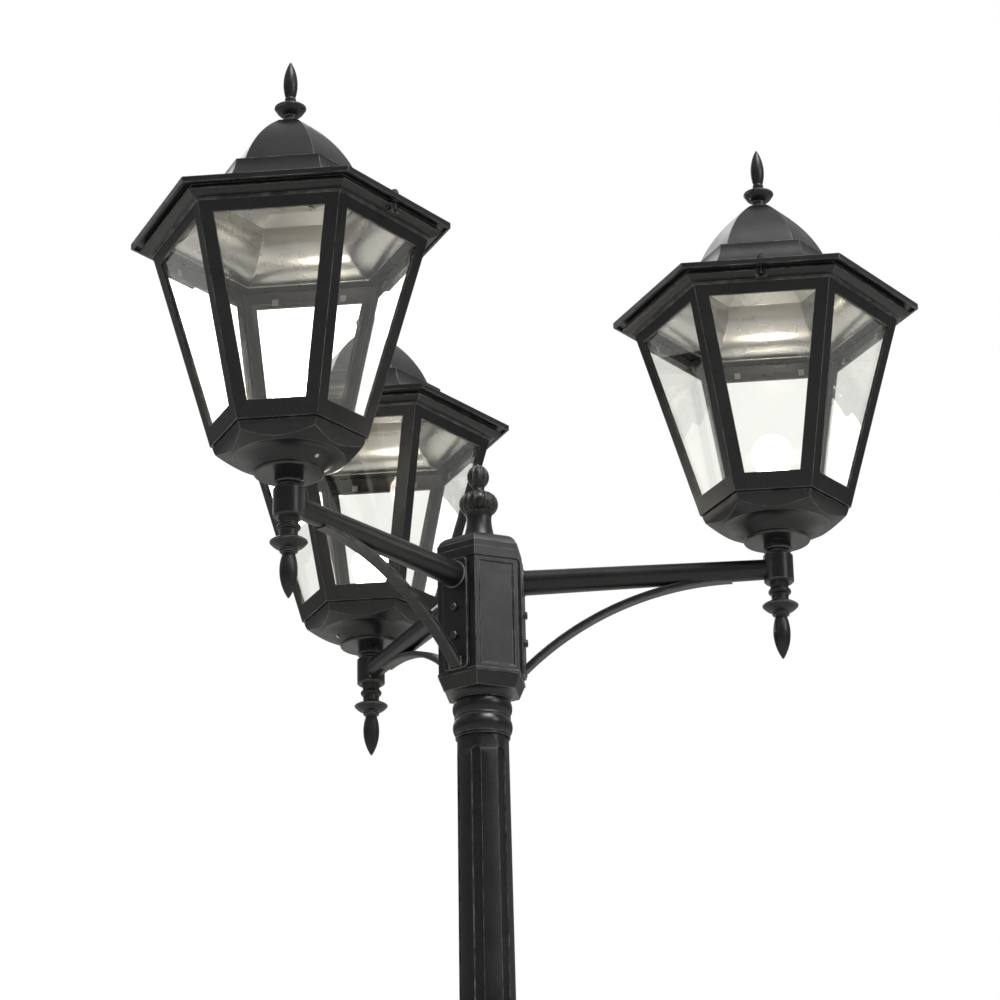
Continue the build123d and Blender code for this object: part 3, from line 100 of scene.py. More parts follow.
def paintedCasting(name, look):
    # a coated casting: fine grain in the coat, slow unevenness of the casting under it,
    # and a thin pale line along each edge: partly wear of the coat, partly a painted highlight of
    # the edge catching the light
    made, tree, shader = newMaterial(name, {"IOR": 1.5, "Specular IOR Level": look["specular"]})
    point = addNode(tree, "ShaderNodeTexCoord", take="Object")
    grain = addNode(tree, "ShaderNodeTexNoise", {
        "Vector": point, "Scale": 1 / look["grainSize"], "Detail": 3.0, "Roughness": 0.65},
        take="Fac")
    casting = addNode(tree, "ShaderNodeTexNoise", {
        "Vector": point, "Scale": 1 / look["castingSize"], "Detail": 2.0}, take="Fac")
    patches = addNode(tree, "ShaderNodeTexNoise", {
        "Vector": point, "Scale": 1 / look["patchSize"], "Detail": 4.0, "Roughness": 0.6},
        take="Fac")
    wear = addNode(tree, "ShaderNodeTexNoise", {
        "Vector": point, "Scale": 1 / look["wearSize"], "Detail": 3.0, "Roughness": 0.6},
        take="Fac")

    # an edge is where the rounded normal turns away from the face's own
    rounded = addNode(tree, "ShaderNodeBevel", {"Radius": look["edgeRadius"]}, take="Normal",
                      samples=4)
    face = addNode(tree, "ShaderNodeNewGeometry", take="Normal")
    along = addNode(tree, "ShaderNodeVectorMath", {0: rounded, 1: face}, take="Value",
                    operation="DOT_PRODUCT")
    edge = addNode(tree, "ShaderNodeMapRange", {
        "Value": along, "From Min": 0.998, "From Max": look["edgeSharp"]}, take="Result")
    wearAndHighlightAmount = addNode(tree, "ShaderNodeMapRange", {
        "Value": wear, "From Min": 0.35, "From Max": 0.65,
        "To Min": look["edgeWearAndHighlightLeast"], "To Max": look["edgeWearAndHighlightMost"]}, take="Result")
    # the pale edge share: a painted highlight along the edges, broken up by the wear noise as wear
    # of the coat
    edgeWearAndHighlightShare = addNode(tree, "ShaderNodeMath", {0: edge, 1: wearAndHighlightAmount}, take="Value",
                        operation="MULTIPLY")

    speck = addNode(tree, "ShaderNodeMapRange", {
        "Value": grain, "From Min": 0.5, "From Max": 0.78}, take="Result")
    dusty = addNode(tree, "ShaderNodeMapRange", {
        "Value": patches, "From Min": 0.45, "From Max": 0.75, "To Max": look["dust"]},
        take="Result")
    body = addNode(tree, "ShaderNodeMix", {
        0: speck, 6: colour(look["base"]), 7: colour(look["speck"])}, take=2, data_type="RGBA")
    body = addNode(tree, "ShaderNodeMix", {
        0: dusty, 6: body, 7: colour(look["dustColour"])}, take=2, data_type="RGBA")
    # painted edge highlight, partly wear of the coat: the pale edge colour laid along every edge
    body = addNode(tree, "ShaderNodeMix", {
        0: edgeWearAndHighlightShare, 6: body, 7: colour(look["edge"])}, take=2, data_type="RGBA")
    gloss = addNode(tree, "ShaderNodeMapRange", {
        "Value": patches, "From Min": 0.3, "From Max": 0.7,
        "To Min": look["smoothest"], "To Max": look["roughest"]}, take="Result")
    slow = addNode(tree, "ShaderNodeBump", {
        "Height": casting, "Distance": look["castingDepth"], "Strength": 1.0,
        "Normal": rounded}, take="Normal")
    fine = addNode(tree, "ShaderNodeBump", {
        "Height": grain, "Distance": look["grainDepth"], "Strength": 1.0,
        "Normal": slow}, take="Normal")
    feed(tree, shader, {"Base Color": body, "Roughness": gloss, "Normal": fine})
    return made


# satin coat with a fine grain: soft broad highlights, faint sparkle, pale edges that are partly
# wear and partly a painted edge highlight
blackCoat = paintedCasting("black_powder_coated_cast_aluminium", {
    "base": "0d0d0e", "speck": "323233", "dustColour": "272726", "edge": "a3a3a0",
    "specular": 0.42, "grainSize": 0.0016, "grainDepth": 0.00011,
    "castingSize": 0.03, "castingDepth": 0.0004, "patchSize": 0.11, "dust": 0.3,
    "smoothest": 0.26, "roughest": 0.42, "edgeRadius": 0.0017, "edgeSharp": 0.96,
    "edgeWearAndHighlightLeast": 0.08, "edgeWearAndHighlightMost": 0.62, "wearSize": 0.02})

# bolts and pins: thinner, slightly oily black with brighter corners, partly wear and partly a
# painted highlight
blackSteel = paintedCasting("black_oxide_turned_steel", {
    "base": "202022", "speck": "333335", "dustColour": "3b3a37", "edge": "8f8e8a",
    "specular": 0.6, "grainSize": 0.0006, "grainDepth": 0.00002,
    "castingSize": 0.012, "castingDepth": 0.00006, "patchSize": 0.03, "dust": 0.3,
    "smoothest": 0.28, "roughest": 0.42, "edgeRadius": 0.0005, "edgeSharp": 0.93,
    "edgeWearAndHighlightLeast": 0.2, "edgeWearAndHighlightMost": 0.7, "wearSize": 0.004})


def metalSheet(name, look):
    # bare metal with fine drawn lines along Z and a slow change of gloss from handling
    made, tree, shader = newMaterial(name, {"Metallic": 1.0})
    point = addNode(tree, "ShaderNodeTexCoord", take="Object")
    stretched = addNode(tree, "ShaderNodeMapping", {
        "Vector": point, "Scale": (1, 1, look["lineStretch"])}, take="Vector")
    lines = addNode(tree, "ShaderNodeTexNoise", {
        "Vector": stretched, "Scale": 1 / look["lineSize"], "Detail": 3.0, "Roughness": 0.6},
        take="Fac")
    smudge = addNode(tree, "ShaderNodeTexNoise", {
        "Vector": point, "Scale": 1 / look["smudgeSize"], "Detail": 3.0, "Roughness": 0.55},
        take="Fac")
    tone = addNode(tree, "ShaderNodeMapRange", {
        "Value": lines, "From Min": 0.3, "From Max": 0.7, "To Max": look["lineTone"]},
        take="Result")
    film = addNode(tree, "ShaderNodeMapRange", {
        "Value": smudge, "From Min": 0.4, "From Max": 0.75, "To Max": look["film"]},
        take="Result")
    gloss = addNode(tree, "ShaderNodeMapRange", {
        "Value": smudge, "From Min": 0.3, "From Max": 0.7,
        "To Min": look["smoothest"], "To Max": look["roughest"]}, take="Result")
    body = addNode(tree, "ShaderNodeMix", {
        0: tone, 6: colour(look["base"]), 7: colour(look["line"])}, take=2, data_type="RGBA")
    body = addNode(tree, "ShaderNodeMix", {
        0: film, 6: body, 7: colour(look["filmColour"])}, take=2, data_type="RGBA")
    bump = addNode(tree, "ShaderNodeBump", {
        "Height": lines, "Distance": look["lineDepth"], "Strength": 1.0}, take="Normal")
    feed(tree, shader, {"Base Color": body, "Roughness": gloss, "Normal": bump})
    return made


# rolled sheet, brushed: streaky grey reflections with soft borders
brushedAluminium = metalSheet("brushed_spun_aluminium_reflector", {
    "base": "d2d1cc", "line": "c3c2bc", "filmColour": "b9b8b2", "lineTone": 0.4, "film": 0.12,
    "lineSize": 0.0012, "lineStretch": 0.03, "lineDepth": 0.0000006, "smudgeSize": 0.09,
    "smoothest": 0.25, "roughest": 0.3})

# polished disc: clear reflections of the lamp with a slight haze
polishedAluminium = metalSheet("polished_rolled_aluminium", {
    "base": "dedddb", "line": "c6c5bf", "filmColour": "b5b4ad", "lineTone": 0.3, "film": 0.2,
    "lineSize": 0.0009, "lineStretch": 0.2, "lineDepth": 0.0000015, "smudgeSize": 0.03,
    "smoothest": 0.08, "roughest": 0.2})

# dull bluish plate on pressed steel, with darker patches
zincSteel = metalSheet("zinc_plated_pressed_steel", {
    "base": "b9bab8", "line": "9a9b99", "filmColour": "7e7e7b", "lineTone": 0.4, "film": 0.4,
    "lineSize": 0.0007, "lineStretch": 1.0, "lineDepth": 0.00001, "smudgeSize": 0.006,
    "smoothest": 0.3, "roughest": 0.5})


def clearGlass(look):
    # glass that lets shadow rays pass, so the lights reach what stands behind it
    made, tree, shader = newMaterial("clear_float_glass", {
        "Base Color": colour(look["base"]), "Transmission Weight": 1.0, "IOR": 1.52,
        "Specular IOR Level": look["specular"]})
    point = addNode(tree, "ShaderNodeTexCoord", take="Object")
    film = addNode(tree, "ShaderNodeTexNoise", {
        "Vector": point, "Scale": 1 / look["filmSize"], "Detail": 4.0, "Roughness": 0.6},
        take="Fac")
    haze = addNode(tree, "ShaderNodeMapRange", {
        "Value": film, "From Min": 0.45, "From Max": 0.8, "To Max": look["filmRoughness"]},
        take="Result")
    feed(tree, shader, {"Roughness": haze})
    shadow = addNode(tree, "ShaderNodeLightPath", take="Is Shadow Ray")
    through = addNode(tree, "ShaderNodeBsdfTransparent", {"Color": colour(look["shade"])},
                      take="BSDF")
    both = addNode(tree, "ShaderNodeMixShader", {
        0: shadow, 1: shader.outputs["BSDF"], 2: through}, take="Shader")
    feed(tree, tree.nodes["Material Output"], {"Surface": both})
    return made


# panes: almost invisible face on, with a faint film of dust and weak reflections
paneGlass = clearGlass({"base": "fffffc", "shade": "fafaf7", "filmSize": 0.06,
                        "filmRoughness": 0.02, "specular": 0.25})


def frostedLamp(look):
    # the glow fades down the lamp's neck into its cap
    made, tree, shader = newMaterial("opal_frosted_blown_glass", {
        "Base Color": colour(look["base"]), "Roughness": 0.45, "IOR": 1.5,
        "Emission Strength": look["strength"]})
    point = addNode(tree, "ShaderNodeTexCoord", take="Object")
    height = addNode(tree, "ShaderNodeSeparateXYZ", {"Vector": point}, take="Z")
    glow = addNode(tree, "ShaderNodeMapRange", {
        "Value": height, "From Min": armHeight + look["glowFrom"],
        "From Max": armHeight + look["glowFull"]}, take="Result")
    clouds = addNode(tree, "ShaderNodeTexNoise", {
        "Vector": point, "Scale": 1 / look["cloudSize"], "Detail": 2.0}, take="Fac")
    cloudy = addNode(tree, "ShaderNodeMapRange", {
        "Value": clouds, "From Min": 0.3, "From Max": 0.7, "To Min": 0.92}, take="Result")
    share = addNode(tree, "ShaderNodeMath", {0: glow, 1: cloudy}, take="Value",
                    operation="MULTIPLY")
    light = addNode(tree, "ShaderNodeMix", {
        0: share, 6: colour("000000"), 7: colour(look["light"])}, take=2, data_type="RGBA")
    frost = addNode(tree, "ShaderNodeTexNoise", {
        "Vector": point, "Scale": 1 / look["frostSize"], "Detail": 2.0}, take="Fac")
    bump = addNode(tree, "ShaderNodeBump", {
        "Height": frost, "Distance": look["frostDepth"], "Strength": 1.0}, take="Normal")
    feed(tree, shader, {"Emission Color": light, "Normal": bump})
    return made


# opal globe, lit: an even warm white with no filament in sight
opalGlass = frostedLamp({"base": "efede6", "light": "fff6e8", "strength": 16.0,
                         "glowFrom": 0.118, "glowFull": 0.155, "cloudSize": 0.02,
                         "frostSize": 0.0006, "frostDepth": 0.00002})


def mouldedBody(name, look):
    # a moulded or fired body: slow colour change, fine skin, and a clear glaze where it has one
    made, tree, shader = newMaterial(name, {
        "IOR": 1.5, "Coat Weight": look["glaze"], "Coat Roughness": 0.05})
    point = addNode(tree, "ShaderNodeTexCoord", take="Object")
    slow = addNode(tree, "ShaderNodeTexNoise", {
        "Vector": point, "Scale": 1 / look["patchSize"], "Detail": 3.0}, take="Fac")
    skin = addNode(tree, "ShaderNodeTexNoise", {
        "Vector": point, "Scale": 1 / look["skinSize"], "Detail": 2.0}, take="Fac")
    patch = addNode(tree, "ShaderNodeMapRange", {
        "Value": slow, "From Min": 0.35, "From Max": 0.7}, take="Result")
    body = addNode(tree, "ShaderNodeMix", {
        0: patch, 6: colour(look["base"]), 7: colour(look["patch"])}, take=2, data_type="RGBA")
    gloss = addNode(tree, "ShaderNodeMapRange", {
        "Value": slow, "From Min": 0.3, "From Max": 0.7,
        "To Min": look["smoothest"], "To Max": look["roughest"]}, take="Result")
    bump = addNode(tree, "ShaderNodeBump", {
        "Height": skin, "Distance": look["skinDepth"], "Strength": 1.0}, take="Normal")
    feed(tree, shader, {"Base Color": body, "Roughness": gloss, "Normal": bump})
    return made


# white electrical porcelain under a clear glaze
porcelain = mouldedBody("glazed_fired_porcelain", {
    "base": "e6e2d8", "patch": "dcd7cb", "glaze": 0.6, "patchSize": 0.02, "skinSize": 0.002,
    "skinDepth": 0.00003, "smoothest": 0.2, "roughest": 0.3})

# grey thermoset, matt from the mould's fine texture
greyPlastic = mouldedBody("grey_moulded_thermoset", {
    "base": "8b8e91", "patch": "7f8285", "glaze": 0.0, "patchSize": 0.015, "skinSize": 0.0007,
    "skinDepth": 0.00004, "smoothest": 0.45, "roughest": 0.58})

finishes = {"black_coat": blackCoat, "black_steel": blackSteel, "plated_steel": zincSteel,
            "clear_glass": paneGlass, "brushed_reflector": brushedAluminium,
            "mirror_plate": polishedAluminium, "frosted_glass": opalGlass,
            "porcelain": porcelain, "grey_plastic": greyPlastic}

for part in frame["record"]["subparts"]:
    for holder in nodes[part["node"]].material_slots:
        holder.material = finishes[part["material_slot"]]
print("materials done")


def meshOf(name, build, material, smooth=True):
    # a mesh made by build(bm), its faces turned outward
    bm = bmesh.new()
    build(bm)
    bmesh.ops.recalc_face_normals(bm, faces=bm.faces)
    for face in bm.faces:
        face.smooth = smooth
    mesh = bpy.data.meshes.new(name)
    bm.to_mesh(mesh)
    bm.free()
    mesh.materials.append(material)
    return mesh


def emptyTree(name, inputs):
    # a geometry tree with its named inputs and no nodes yet
    tree = bpy.data.node_groups.new(name, "GeometryNodeTree")
    geometry = "NodeSocketGeometry"
    tree.interface.new_socket("Geometry", in_out="INPUT", socket_type=geometry)
    for title, kind in inputs.items():
        tree.interface.new_socket(title, in_out="INPUT", socket_type=kind)
    tree.interface.new_socket("Geometry", in_out="OUTPUT", socket_type=geometry)
    return tree


def ringTree():
    # the mesh copied round the Z axis, at even steps from a first angle
    tree = emptyTree("copies_in_a_ring", {
        "Copies": "NodeSocketInt", "First Angle": "NodeSocketFloat",
        "Finish": "NodeSocketMaterial"})
    given = addNode(tree, "NodeGroupInput").outputs
    points = addNode(tree, "GeometryNodeMeshLine", {
        "Count": given["Copies"], "Offset": (0, 0, 0)}, take="Mesh")
    step = addNode(tree, "ShaderNodeMath", {0: math.tau, 1: given["Copies"]}, take="Value",
                   operation="DIVIDE")
    index = addNode(tree, "GeometryNodeInputIndex", take="Index")
    turn = addNode(tree, "ShaderNodeMath", {0: index, 1: step, 2: given["First Angle"]},
                   take="Value", operation="MULTIPLY_ADD")
    about = addNode(tree, "ShaderNodeCombineXYZ", {"Z": turn}, take="Vector")
    copies = addNode(tree, "GeometryNodeInstanceOnPoints", {
        "Points": points, "Instance": given["Geometry"], "Rotation": about}, take="Instances")
    real = addNode(tree, "GeometryNodeRealizeInstances", {"Geometry": copies}, take="Geometry")
    painted = addNode(tree, "GeometryNodeSetMaterial", {
        "Geometry": real, "Material": given["Finish"]}, take="Geometry")
    addNode(tree, "NodeGroupOutput", {"Geometry": painted})
    return tree


def beadTree():
    # small rounded beads along the mesh's edges, overlapping as the ripples of a weld do
    tree = emptyTree("beads_along_a_line", {
        "Spacing": "NodeSocketFloat", "Bead Radius": "NodeSocketFloat",
        "Unevenness": "NodeSocketFloat", "Seed": "NodeSocketInt",
        "Finish": "NodeSocketMaterial"})
    given = addNode(tree, "NodeGroupInput").outputs
    line = addNode(tree, "GeometryNodeMeshToCurve", {"Mesh": given["Geometry"]}, take="Curve")
    points = addNode(tree, "GeometryNodeResampleCurve", {
        "Curve": line, "Length": given["Spacing"]}, take="Curve", mode="LENGTH")
    bead = addNode(tree, "GeometryNodeMeshUVSphere", {
        "Segments": 8, "Rings": 6, "Radius": given["Bead Radius"]}, take="Mesh")
    least = addNode(tree, "ShaderNodeMath", {0: 1.0, 1: given["Unevenness"]}, take="Value",
                    operation="SUBTRACT")
    most = addNode(tree, "ShaderNodeMath", {0: 1.0, 1: given["Unevenness"]}, take="Value",
                   operation="ADD")
    size = addNode(tree, "FunctionNodeRandomValue", {
        2: least, 3: most, "Seed": given["Seed"]}, take=1)  # 2 and 3: least and most number
    copies = addNode(tree, "GeometryNodeInstanceOnPoints", {
        "Points": points, "Instance": bead, "Scale": size}, take="Instances")
    real = addNode(tree, "GeometryNodeRealizeInstances", {"Geometry": copies}, take="Geometry")
    soft = addNode(tree, "GeometryNodeSetShadeSmooth", {"Geometry": real}, take="Geometry")
    painted = addNode(tree, "GeometryNodeSetMaterial", {
        "Geometry": soft, "Material": given["Finish"]}, take="Geometry")
    addNode(tree, "NodeGroupOutput", {"Geometry": painted})
    return tree


def grown(mesh, tree, values):
    # the plain mesh that a geometry tree makes of a mesh, with the tree's inputs set by name
    source = bpy.data.objects.new("source", mesh)
    bpy.context.scene.collection.objects.link(source)
    modifier = source.modifiers.new("grow", "NODES")
    modifier.node_group = tree
    for item in tree.interface.items_tree:
        if item.in_out == "INPUT" and item.name in values:
            modifier[item.identifier] = values[item.name]
    found = source.evaluated_get(bpy.context.evaluated_depsgraph_get())
    made = bpy.data.meshes.new_from_object(found)
    bpy.data.objects.remove(source)
    return made


def addPiece(name, mesh, body):
    # a finished piece, on the body that carries it
    piece = bpy.data.objects.new(name, mesh)
    bpy.context.scene.collection.objects.link(piece)
    mesh.name = name
    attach(piece, body)


def joined(name, meshes, material):
    # several meshes in one, all with one material
    bm = bmesh.new()
    for mesh in meshes:
        bm.from_mesh(mesh)
    whole = bpy.data.meshes.new(name)
    bm.to_mesh(whole)
    bm.free()
    whole.materials.append(material)
    return whole


def box(bm, low, high, edge):
    # a block between two corners, with bevelled edges
    made = bmesh.ops.create_cube(bm, size=1.0)["verts"]
    span = Vector(high) - Vector(low)
    middle = (Vector(high) + Vector(low)) / 2
    for vert in made:
        vert.co = Vector(c * s for c, s in zip(vert.co, span)) + middle
    edges = {e for v in made for e in v.link_edges}
    bmesh.ops.bevel(bm, geom=list(edges), offset=edge, segments=2, affect="EDGES", profile=0.7)


copyRing = ringTree()
beadLine = beadTree()

# the reflector's bell, as the solids have it: its wall and the arc that its sides follow
bell = {"foot": 0.4105, "top": 0.4785, "arcCentre": 0.16886, "arcRadius": 0.06886,
        "wall": 0.0012}
rivetMesh = {"u_segments": 10, "v_segments": 6}  # a rivet's head is a few millimetres wide


def bellFlat(height):
    # how far the bell's inner face stands from the lantern's axis at a height
    drop = bell["top"] - height
    return bell["arcCentre"] - math.sqrt(bell["arcRadius"] ** 2 - drop ** 2) - bell["wall"]


def bellLean(height):
    # how far the bell's inner face is turned down at a height
    return math.atan2(bell["top"] - height, bell["arcCentre"] - bellFlat(height))


seamLook = {"firstAngle": 0.0, "steps": 14, "width": 0.0036, "rise": 0.0014, "footGap": 0.001,
            "sink": 0.0004, "curl": 0.25, "across": (-1, -0.6, 0, 0.6, 1)}


def buildSeam(bm):
    # one folded seam down the corner between two petals: a half-round strip inside the bell
    look = seamLook
    foot = bell["foot"] + look["footGap"]
    rows = []
    for step in range(look["steps"] + 1):
        height = foot + step / look["steps"] * (bell["top"] - foot)
        reach = bellFlat(height) / math.cos(halfSide)
        lean = bellLean(height)
        inward = Vector((-math.cos(lean), 0, -math.sin(lean)))
        row = []
        for side in look["across"]:
            rise = look["rise"] * (1 - side * side) - look["sink"]
            back = abs(side) * look["width"] * look["curl"]
            spot = Vector((reach - back, side * look["width"] / 2, height))
            row.append(bm.verts.new(spot + inward * rise))
        rows.append(row)
    for low, high in zip(rows, rows[1:]):
        for k in range(len(low) - 1):
            bm.faces.new((low[k], low[k + 1], high[k + 1], high[k]))
        bm.faces.new((low[-1], low[0], high[0], high[-1]))
    bm.faces.new(rows[0])
    bm.faces.new(rows[-1])


clipLook = {"firstAngle": 13.0, "plateRadius": 0.0700, "overlap": 0.005, "ringUnder": 0.4903,
            "wide": 0.0075, "long": 0.013, "thick": 0.0011, "gap": 0.0004, "edge": 0.0003,
            "tabFoot": 0.006, "tabTop": 0.0006, "tabBack": 0.0004,
            "rivetRadius": 0.0018, "rivetAlong": 0.6}


def buildClip(bm):
    # a small bent tab that holds the mirror plate up against the ring, with its rivet
    look = clipLook
    under = look["ringUnder"]
    inner = look["plateRadius"] - look["overlap"]
    half = look["wide"] / 2
    foot = under - look["thick"] - look["gap"]
    box(bm, (inner, -half, foot), (inner + look["long"], half, under - look["gap"]), look["edge"])
    box(bm, (inner - look["tabBack"], -half, under - look["tabFoot"]),
        (inner + look["thick"], half, under - look["tabTop"]), look["edge"])
    place = Matrix.Translation((inner + look["long"] * look["rivetAlong"], 0, foot))
    bmesh.ops.create_uvsphere(bm, radius=look["rivetRadius"], matrix=place, **rivetMesh)


rivetLook = {"firstAngle": 30.0, "radius": 0.0016, "rise": 0.0009, "heights": (0.424, 0.448)}


def buildRivets(bm):
    # the small rivet heads down the middle of one petal
    look = rivetLook
    flatten = Matrix.Diagonal((look["rise"] / look["radius"], 1, 1, 1))
    for height in look["heights"]:
        place = (Matrix.Translation((bellFlat(height), 0, height))
                 @ Matrix.Rotation(-bellLean(height), 4, "Y") @ flatten)
        bmesh.ops.create_uvsphere(bm, radius=look["radius"], matrix=place, **rivetMesh)


for index, number in enumerate(lanternNumbers):
    for title, build, look in (("reflector_seams", buildSeam, seamLook),
                               ("mirror_clips", buildClip, clipLook),
                               ("petal_rivets", buildRivets, rivetLook)):
        ring = grown(meshOf(title, build, brushedAluminium), copyRing, {
            "Copies": lanternSides, "First Angle": math.radians(look["firstAngle"]),
            "Finish": brushedAluminium})
        ring.transform(lanternPlace(index))
        addPiece(f"{title}_{number}", ring, f"hood_{number}")
print("reflector details done")


weldLook = {"plateFace": 0.0656, "standOff": 0.0003, "tubeRadius": 0.0194, "ringPoints": 48,
            "braceHalf": 0.0101, "braceTop": -0.1318, "braceFoot": -0.1452,
            "spacing": 0.0019, "bead": 0.0019, "unevenness": 0.14, "firstSeed": 11}


def buildWeldLines(bm):
    # where a tube and a brace meet their plate: round the tube, and three sides of the brace
    look = weldLook
    face = look["plateFace"] + look["standOff"]
    count = look["ringPoints"]
    ring = [bm.verts.new((face, look["tubeRadius"] * math.cos(a), look["tubeRadius"] * math.sin(a)))
            for a in (math.tau * k / count for k in range(count))]
    for k in range(count):
        bm.edges.new((ring[k], ring[(k + 1) % count]))
    foot = [bm.verts.new((face, y, z)) for y, z in (
        (-look["braceHalf"], look["braceFoot"]), (-look["braceHalf"], look["braceTop"]),
        (look["braceHalf"], look["braceTop"]), (look["braceHalf"], look["braceFoot"]))]
    for first, second in zip(foot, foot[1:]):
        bm.edges.new((first, second))


welds = []
for index in range(len(armAngles)):
    line = grown(meshOf("weld_lines", buildWeldLines, blackCoat), beadLine, {
        "Spacing": weldLook["spacing"], "Bead Radius": weldLook["bead"],
        "Unevenness": weldLook["unevenness"], "Seed": weldLook["firstSeed"] + index,
        "Finish": blackCoat})
    line.transform(armPlace(index))
    welds.append(line)
addPiece("arm_welds", joined("arm_welds", welds, blackCoat), "post")
print("welds done")


# the board's own axes: +X runs out of its face towards the door, the origin is at its middle
board = {"azimuth": -60.0, "face": 0.0710, "middle": 0.25}

blockLook = {"poles": 4, "pitch": 0.0112, "wide": 0.0105, "low": 0.013, "high": 0.037,
             "deep": 0.011, "sink": 0.0004, "edge": 0.0008,
             "carrierHalf": 0.013, "carrierLow": -0.036, "carrierHigh": 0.004,
             "carrierDeep": 0.016, "bodyShare": 0.6, "carrierEdge": 0.0012,
             "gripShare": 0.55, "gripInset": 0.006, "gripSink": 0.001}


def poleSides(look):
    # where the terminal blocks stand across the board
    return [(k - (look["poles"] - 1) / 2) * look["pitch"] for k in range(look["poles"])]


def buildBlocks(bm):
    # a row of terminal blocks and, under it, the carrier of a fuse with its raised grip
    look = blockLook
    for side in poleSides(look):
        box(bm, (-look["sink"], side - look["wide"] / 2, look["low"]),
            (look["deep"], side + look["wide"] / 2, look["high"]), look["edge"])
    half = look["carrierHalf"]
    body = look["carrierDeep"] * look["bodyShare"]
    box(bm, (-look["sink"], -half, look["carrierLow"]), (body, half, look["carrierHigh"]),
        look["carrierEdge"])
    box(bm, (body - look["gripSink"], -half * look["gripShare"],
             look["carrierLow"] + look["gripInset"]),
        (look["carrierDeep"], half * look["gripShare"],
         look["carrierHigh"] - look["gripInset"]), look["carrierEdge"])


screwLook = {"radius": 0.0026, "fromEnd": 0.005, "proud": 0.0004, "depth": 0.0016,
             "taper": 0.86, "sides": 16}


def buildScrews(bm):
    # the head of one screw near each end of each terminal block
    look = screwLook
    for side in poleSides(blockLook):
        for height in (blockLook["low"] + look["fromEnd"], blockLook["high"] - look["fromEnd"]):
            place = (Matrix.Translation((blockLook["deep"] + look["proud"], side, height))
                     @ Matrix.Rotation(quarterTurn, 4, "Y"))
            bmesh.ops.create_cone(bm, cap_ends=True, segments=look["sides"],
                                  radius1=look["radius"], radius2=look["radius"] * look["taper"],
                                  depth=look["depth"], matrix=place)


boardPlace = (Matrix.Rotation(math.radians(board["azimuth"]), 4, "Z")
              @ Matrix.Translation((-board["face"], 0, board["middle"])))
for title, build, finish, slot in (("terminal_blocks", buildBlocks, porcelain, "porcelain"),
                                   ("terminal_screws", buildScrews, zincSteel, "plated_steel")):
    fitting = meshOf(title, build, finish, smooth=False)
    fitting.transform(boardPlace)
    addPiece(title, fitting, "post")
print("terminal details done")


def setFloor(look):
    mesh = bpy.data.meshes.new("floor")
    half = look["half"]
    mesh.from_pydata([(-half, -half, 0), (half, -half, 0), (half, half, 0), (-half, half, 0)],
                     [], [(0, 1, 2, 3)])
    floor = bpy.data.objects.new("floor", mesh)
    bpy.context.scene.collection.objects.link(floor)
    made, tree, shader = newMaterial("pale_studio_floor", {"Roughness": 0.85})
    point = addNode(tree, "ShaderNodeTexCoord", take="Object")
    patches = addNode(tree, "ShaderNodeTexNoise", {
        "Vector": point, "Scale": 1 / look["patchSize"], "Detail": 3.0}, take="Fac")
    body = addNode(tree, "ShaderNodeMix", {
        0: patches, 6: colour(look["base"]), 7: colour(look["patch"])}, take=2,
        data_type="RGBA")
    feed(tree, shader, {"Base Color": body})
    mesh.materials.append(made)


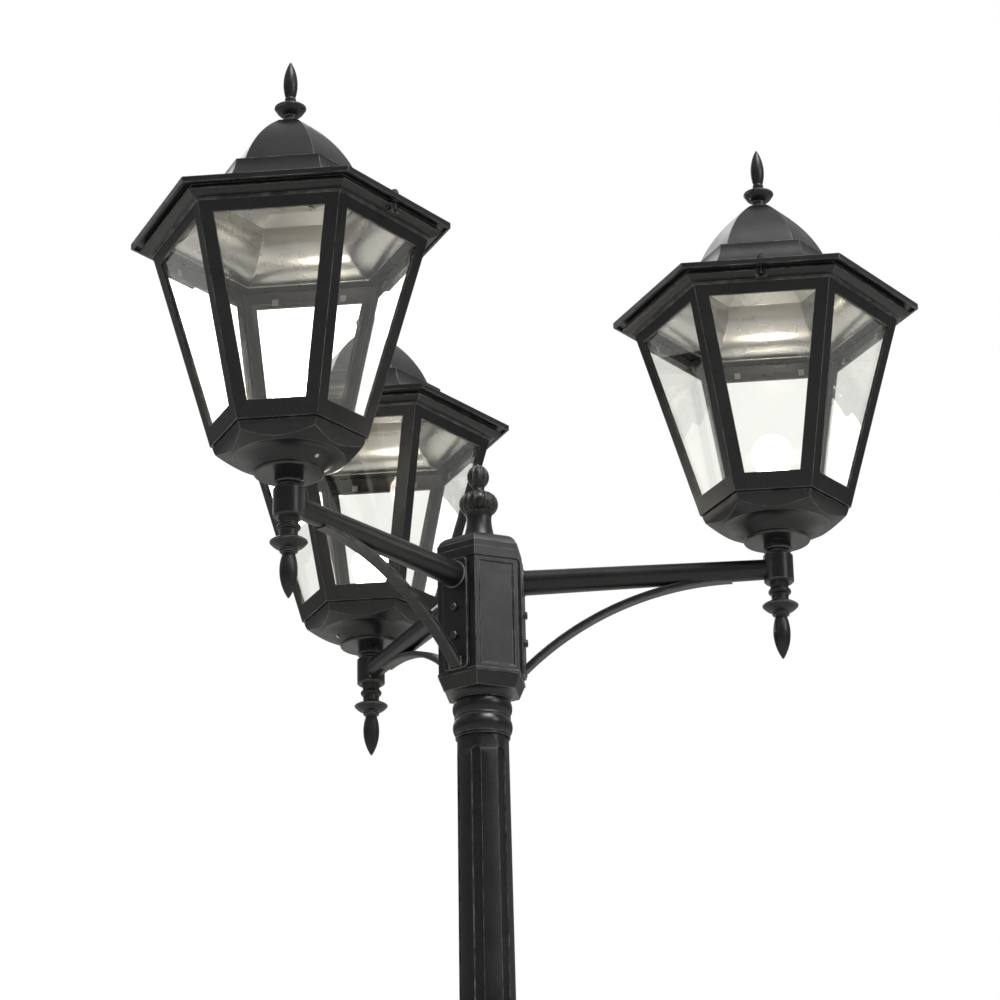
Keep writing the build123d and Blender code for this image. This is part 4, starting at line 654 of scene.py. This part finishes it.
def setWorld(look):
    # a soft sky that lights the object, while the camera and rays through glass see plain white
    world = bpy.data.worlds.new("studio")
    bpy.context.scene.world = world
    world.use_nodes = True
    tree = world.node_tree
    tree.nodes.clear()
    path = addNode(tree, "ShaderNodeLightPath").outputs
    seen = addNode(tree, "ShaderNodeMath", {
        0: path["Is Camera Ray"], 1: path["Is Transmission Ray"]}, take="Value",
        operation="MAXIMUM")
    way = addNode(tree, "ShaderNodeTexCoord", take="Generated")
    height = addNode(tree, "ShaderNodeSeparateXYZ", {"Vector": way}, take="Z")
    up = addNode(tree, "ShaderNodeMapRange", {
        "Value": height, "From Min": -0.2, "From Max": 0.9}, take="Result")
    sky = addNode(tree, "ShaderNodeMix", {
        0: up, 6: colour(look["low"]), 7: colour(look["high"])}, take=2, data_type="RGBA")
    backdrop = addNode(tree, "ShaderNodeBackground", {
        "Color": colour("ffffff"), "Strength": 1.0}, take="Background")
    light = addNode(tree, "ShaderNodeBackground", {
        "Color": sky, "Strength": look["strength"]}, take="Background")
    both = addNode(tree, "ShaderNodeMixShader", {0: seen, 1: light, 2: backdrop}, take="Shader")
    addNode(tree, "ShaderNodeOutputWorld", {"Surface": both})


def setLight(look):
    # a sun's size is its angle in degrees, any other light's is its width in metres
    data = bpy.data.lights.new(look["name"], look["kind"])
    data.energy = look["power"]
    if look["kind"] == "SUN":
        data.angle = math.radians(look["size"])
    else:
        data.shape = "DISK"
        data.size = look["size"]
    lamp = bpy.data.objects.new(look["name"], data)
    lamp.location = look["spot"]
    aim = Vector((0, 0, armHeight)) - Vector(look["spot"])
    lamp.rotation_euler = aim.to_track_quat("-Z", "Y").to_euler()
    bpy.context.scene.collection.objects.link(lamp)


setFloor({"half": 60.0, "base": "cbcac7", "patch": "c6c5c2", "patchSize": 0.8})
setWorld({"low": "2b2b2b", "high": "ffffff", "strength": 0.62})
for light in ({"name": "key_light", "kind": "SUN", "spot": (2.6, -3.0, 9.6),
               "size": 26.0, "power": 2.6},
              {"name": "front_light", "kind": "AREA", "spot": (4.6, -2.6, 5.2),
               "size": 1.8, "power": 60.0},
              {"name": "rim_light", "kind": "AREA", "spot": (-1.8, 4.0, 5.6),
               "size": 3.2, "power": 60.0}):
    setLight(light)


def setCamera(look):
    # it stands at spot, level and facing +Y before its turn, tilt and roll
    data = bpy.data.cameras.new("camera")
    data.lens = look["lens"]
    data.sensor_width = look["sensor"]
    data.clip_start, data.clip_end = look["clip"]
    camera = bpy.data.objects.new("camera", data)
    turn, tilt, roll = (math.radians(look[k]) for k in ("turn", "tilt", "roll"))
    camera.matrix_world = (Matrix.Translation(look["spot"]) @ Matrix.Rotation(turn, 4, "Z")
                           @ Matrix.Rotation(quarterTurn + tilt, 4, "X")
                           @ Matrix.Rotation(roll, 4, "Z"))
    bpy.context.scene.collection.objects.link(camera)
    bpy.context.scene.camera = camera


setCamera({"spot": (0.505, -4.545, 0.9435), "lens": 115.5, "sensor": 36.0,
           "clip": (0.05, 200.0), "turn": 5.93, "tilt": 20.99, "roll": -1.21})
bpy.context.scene.view_settings.view_transform = "Standard"
print("stage done")
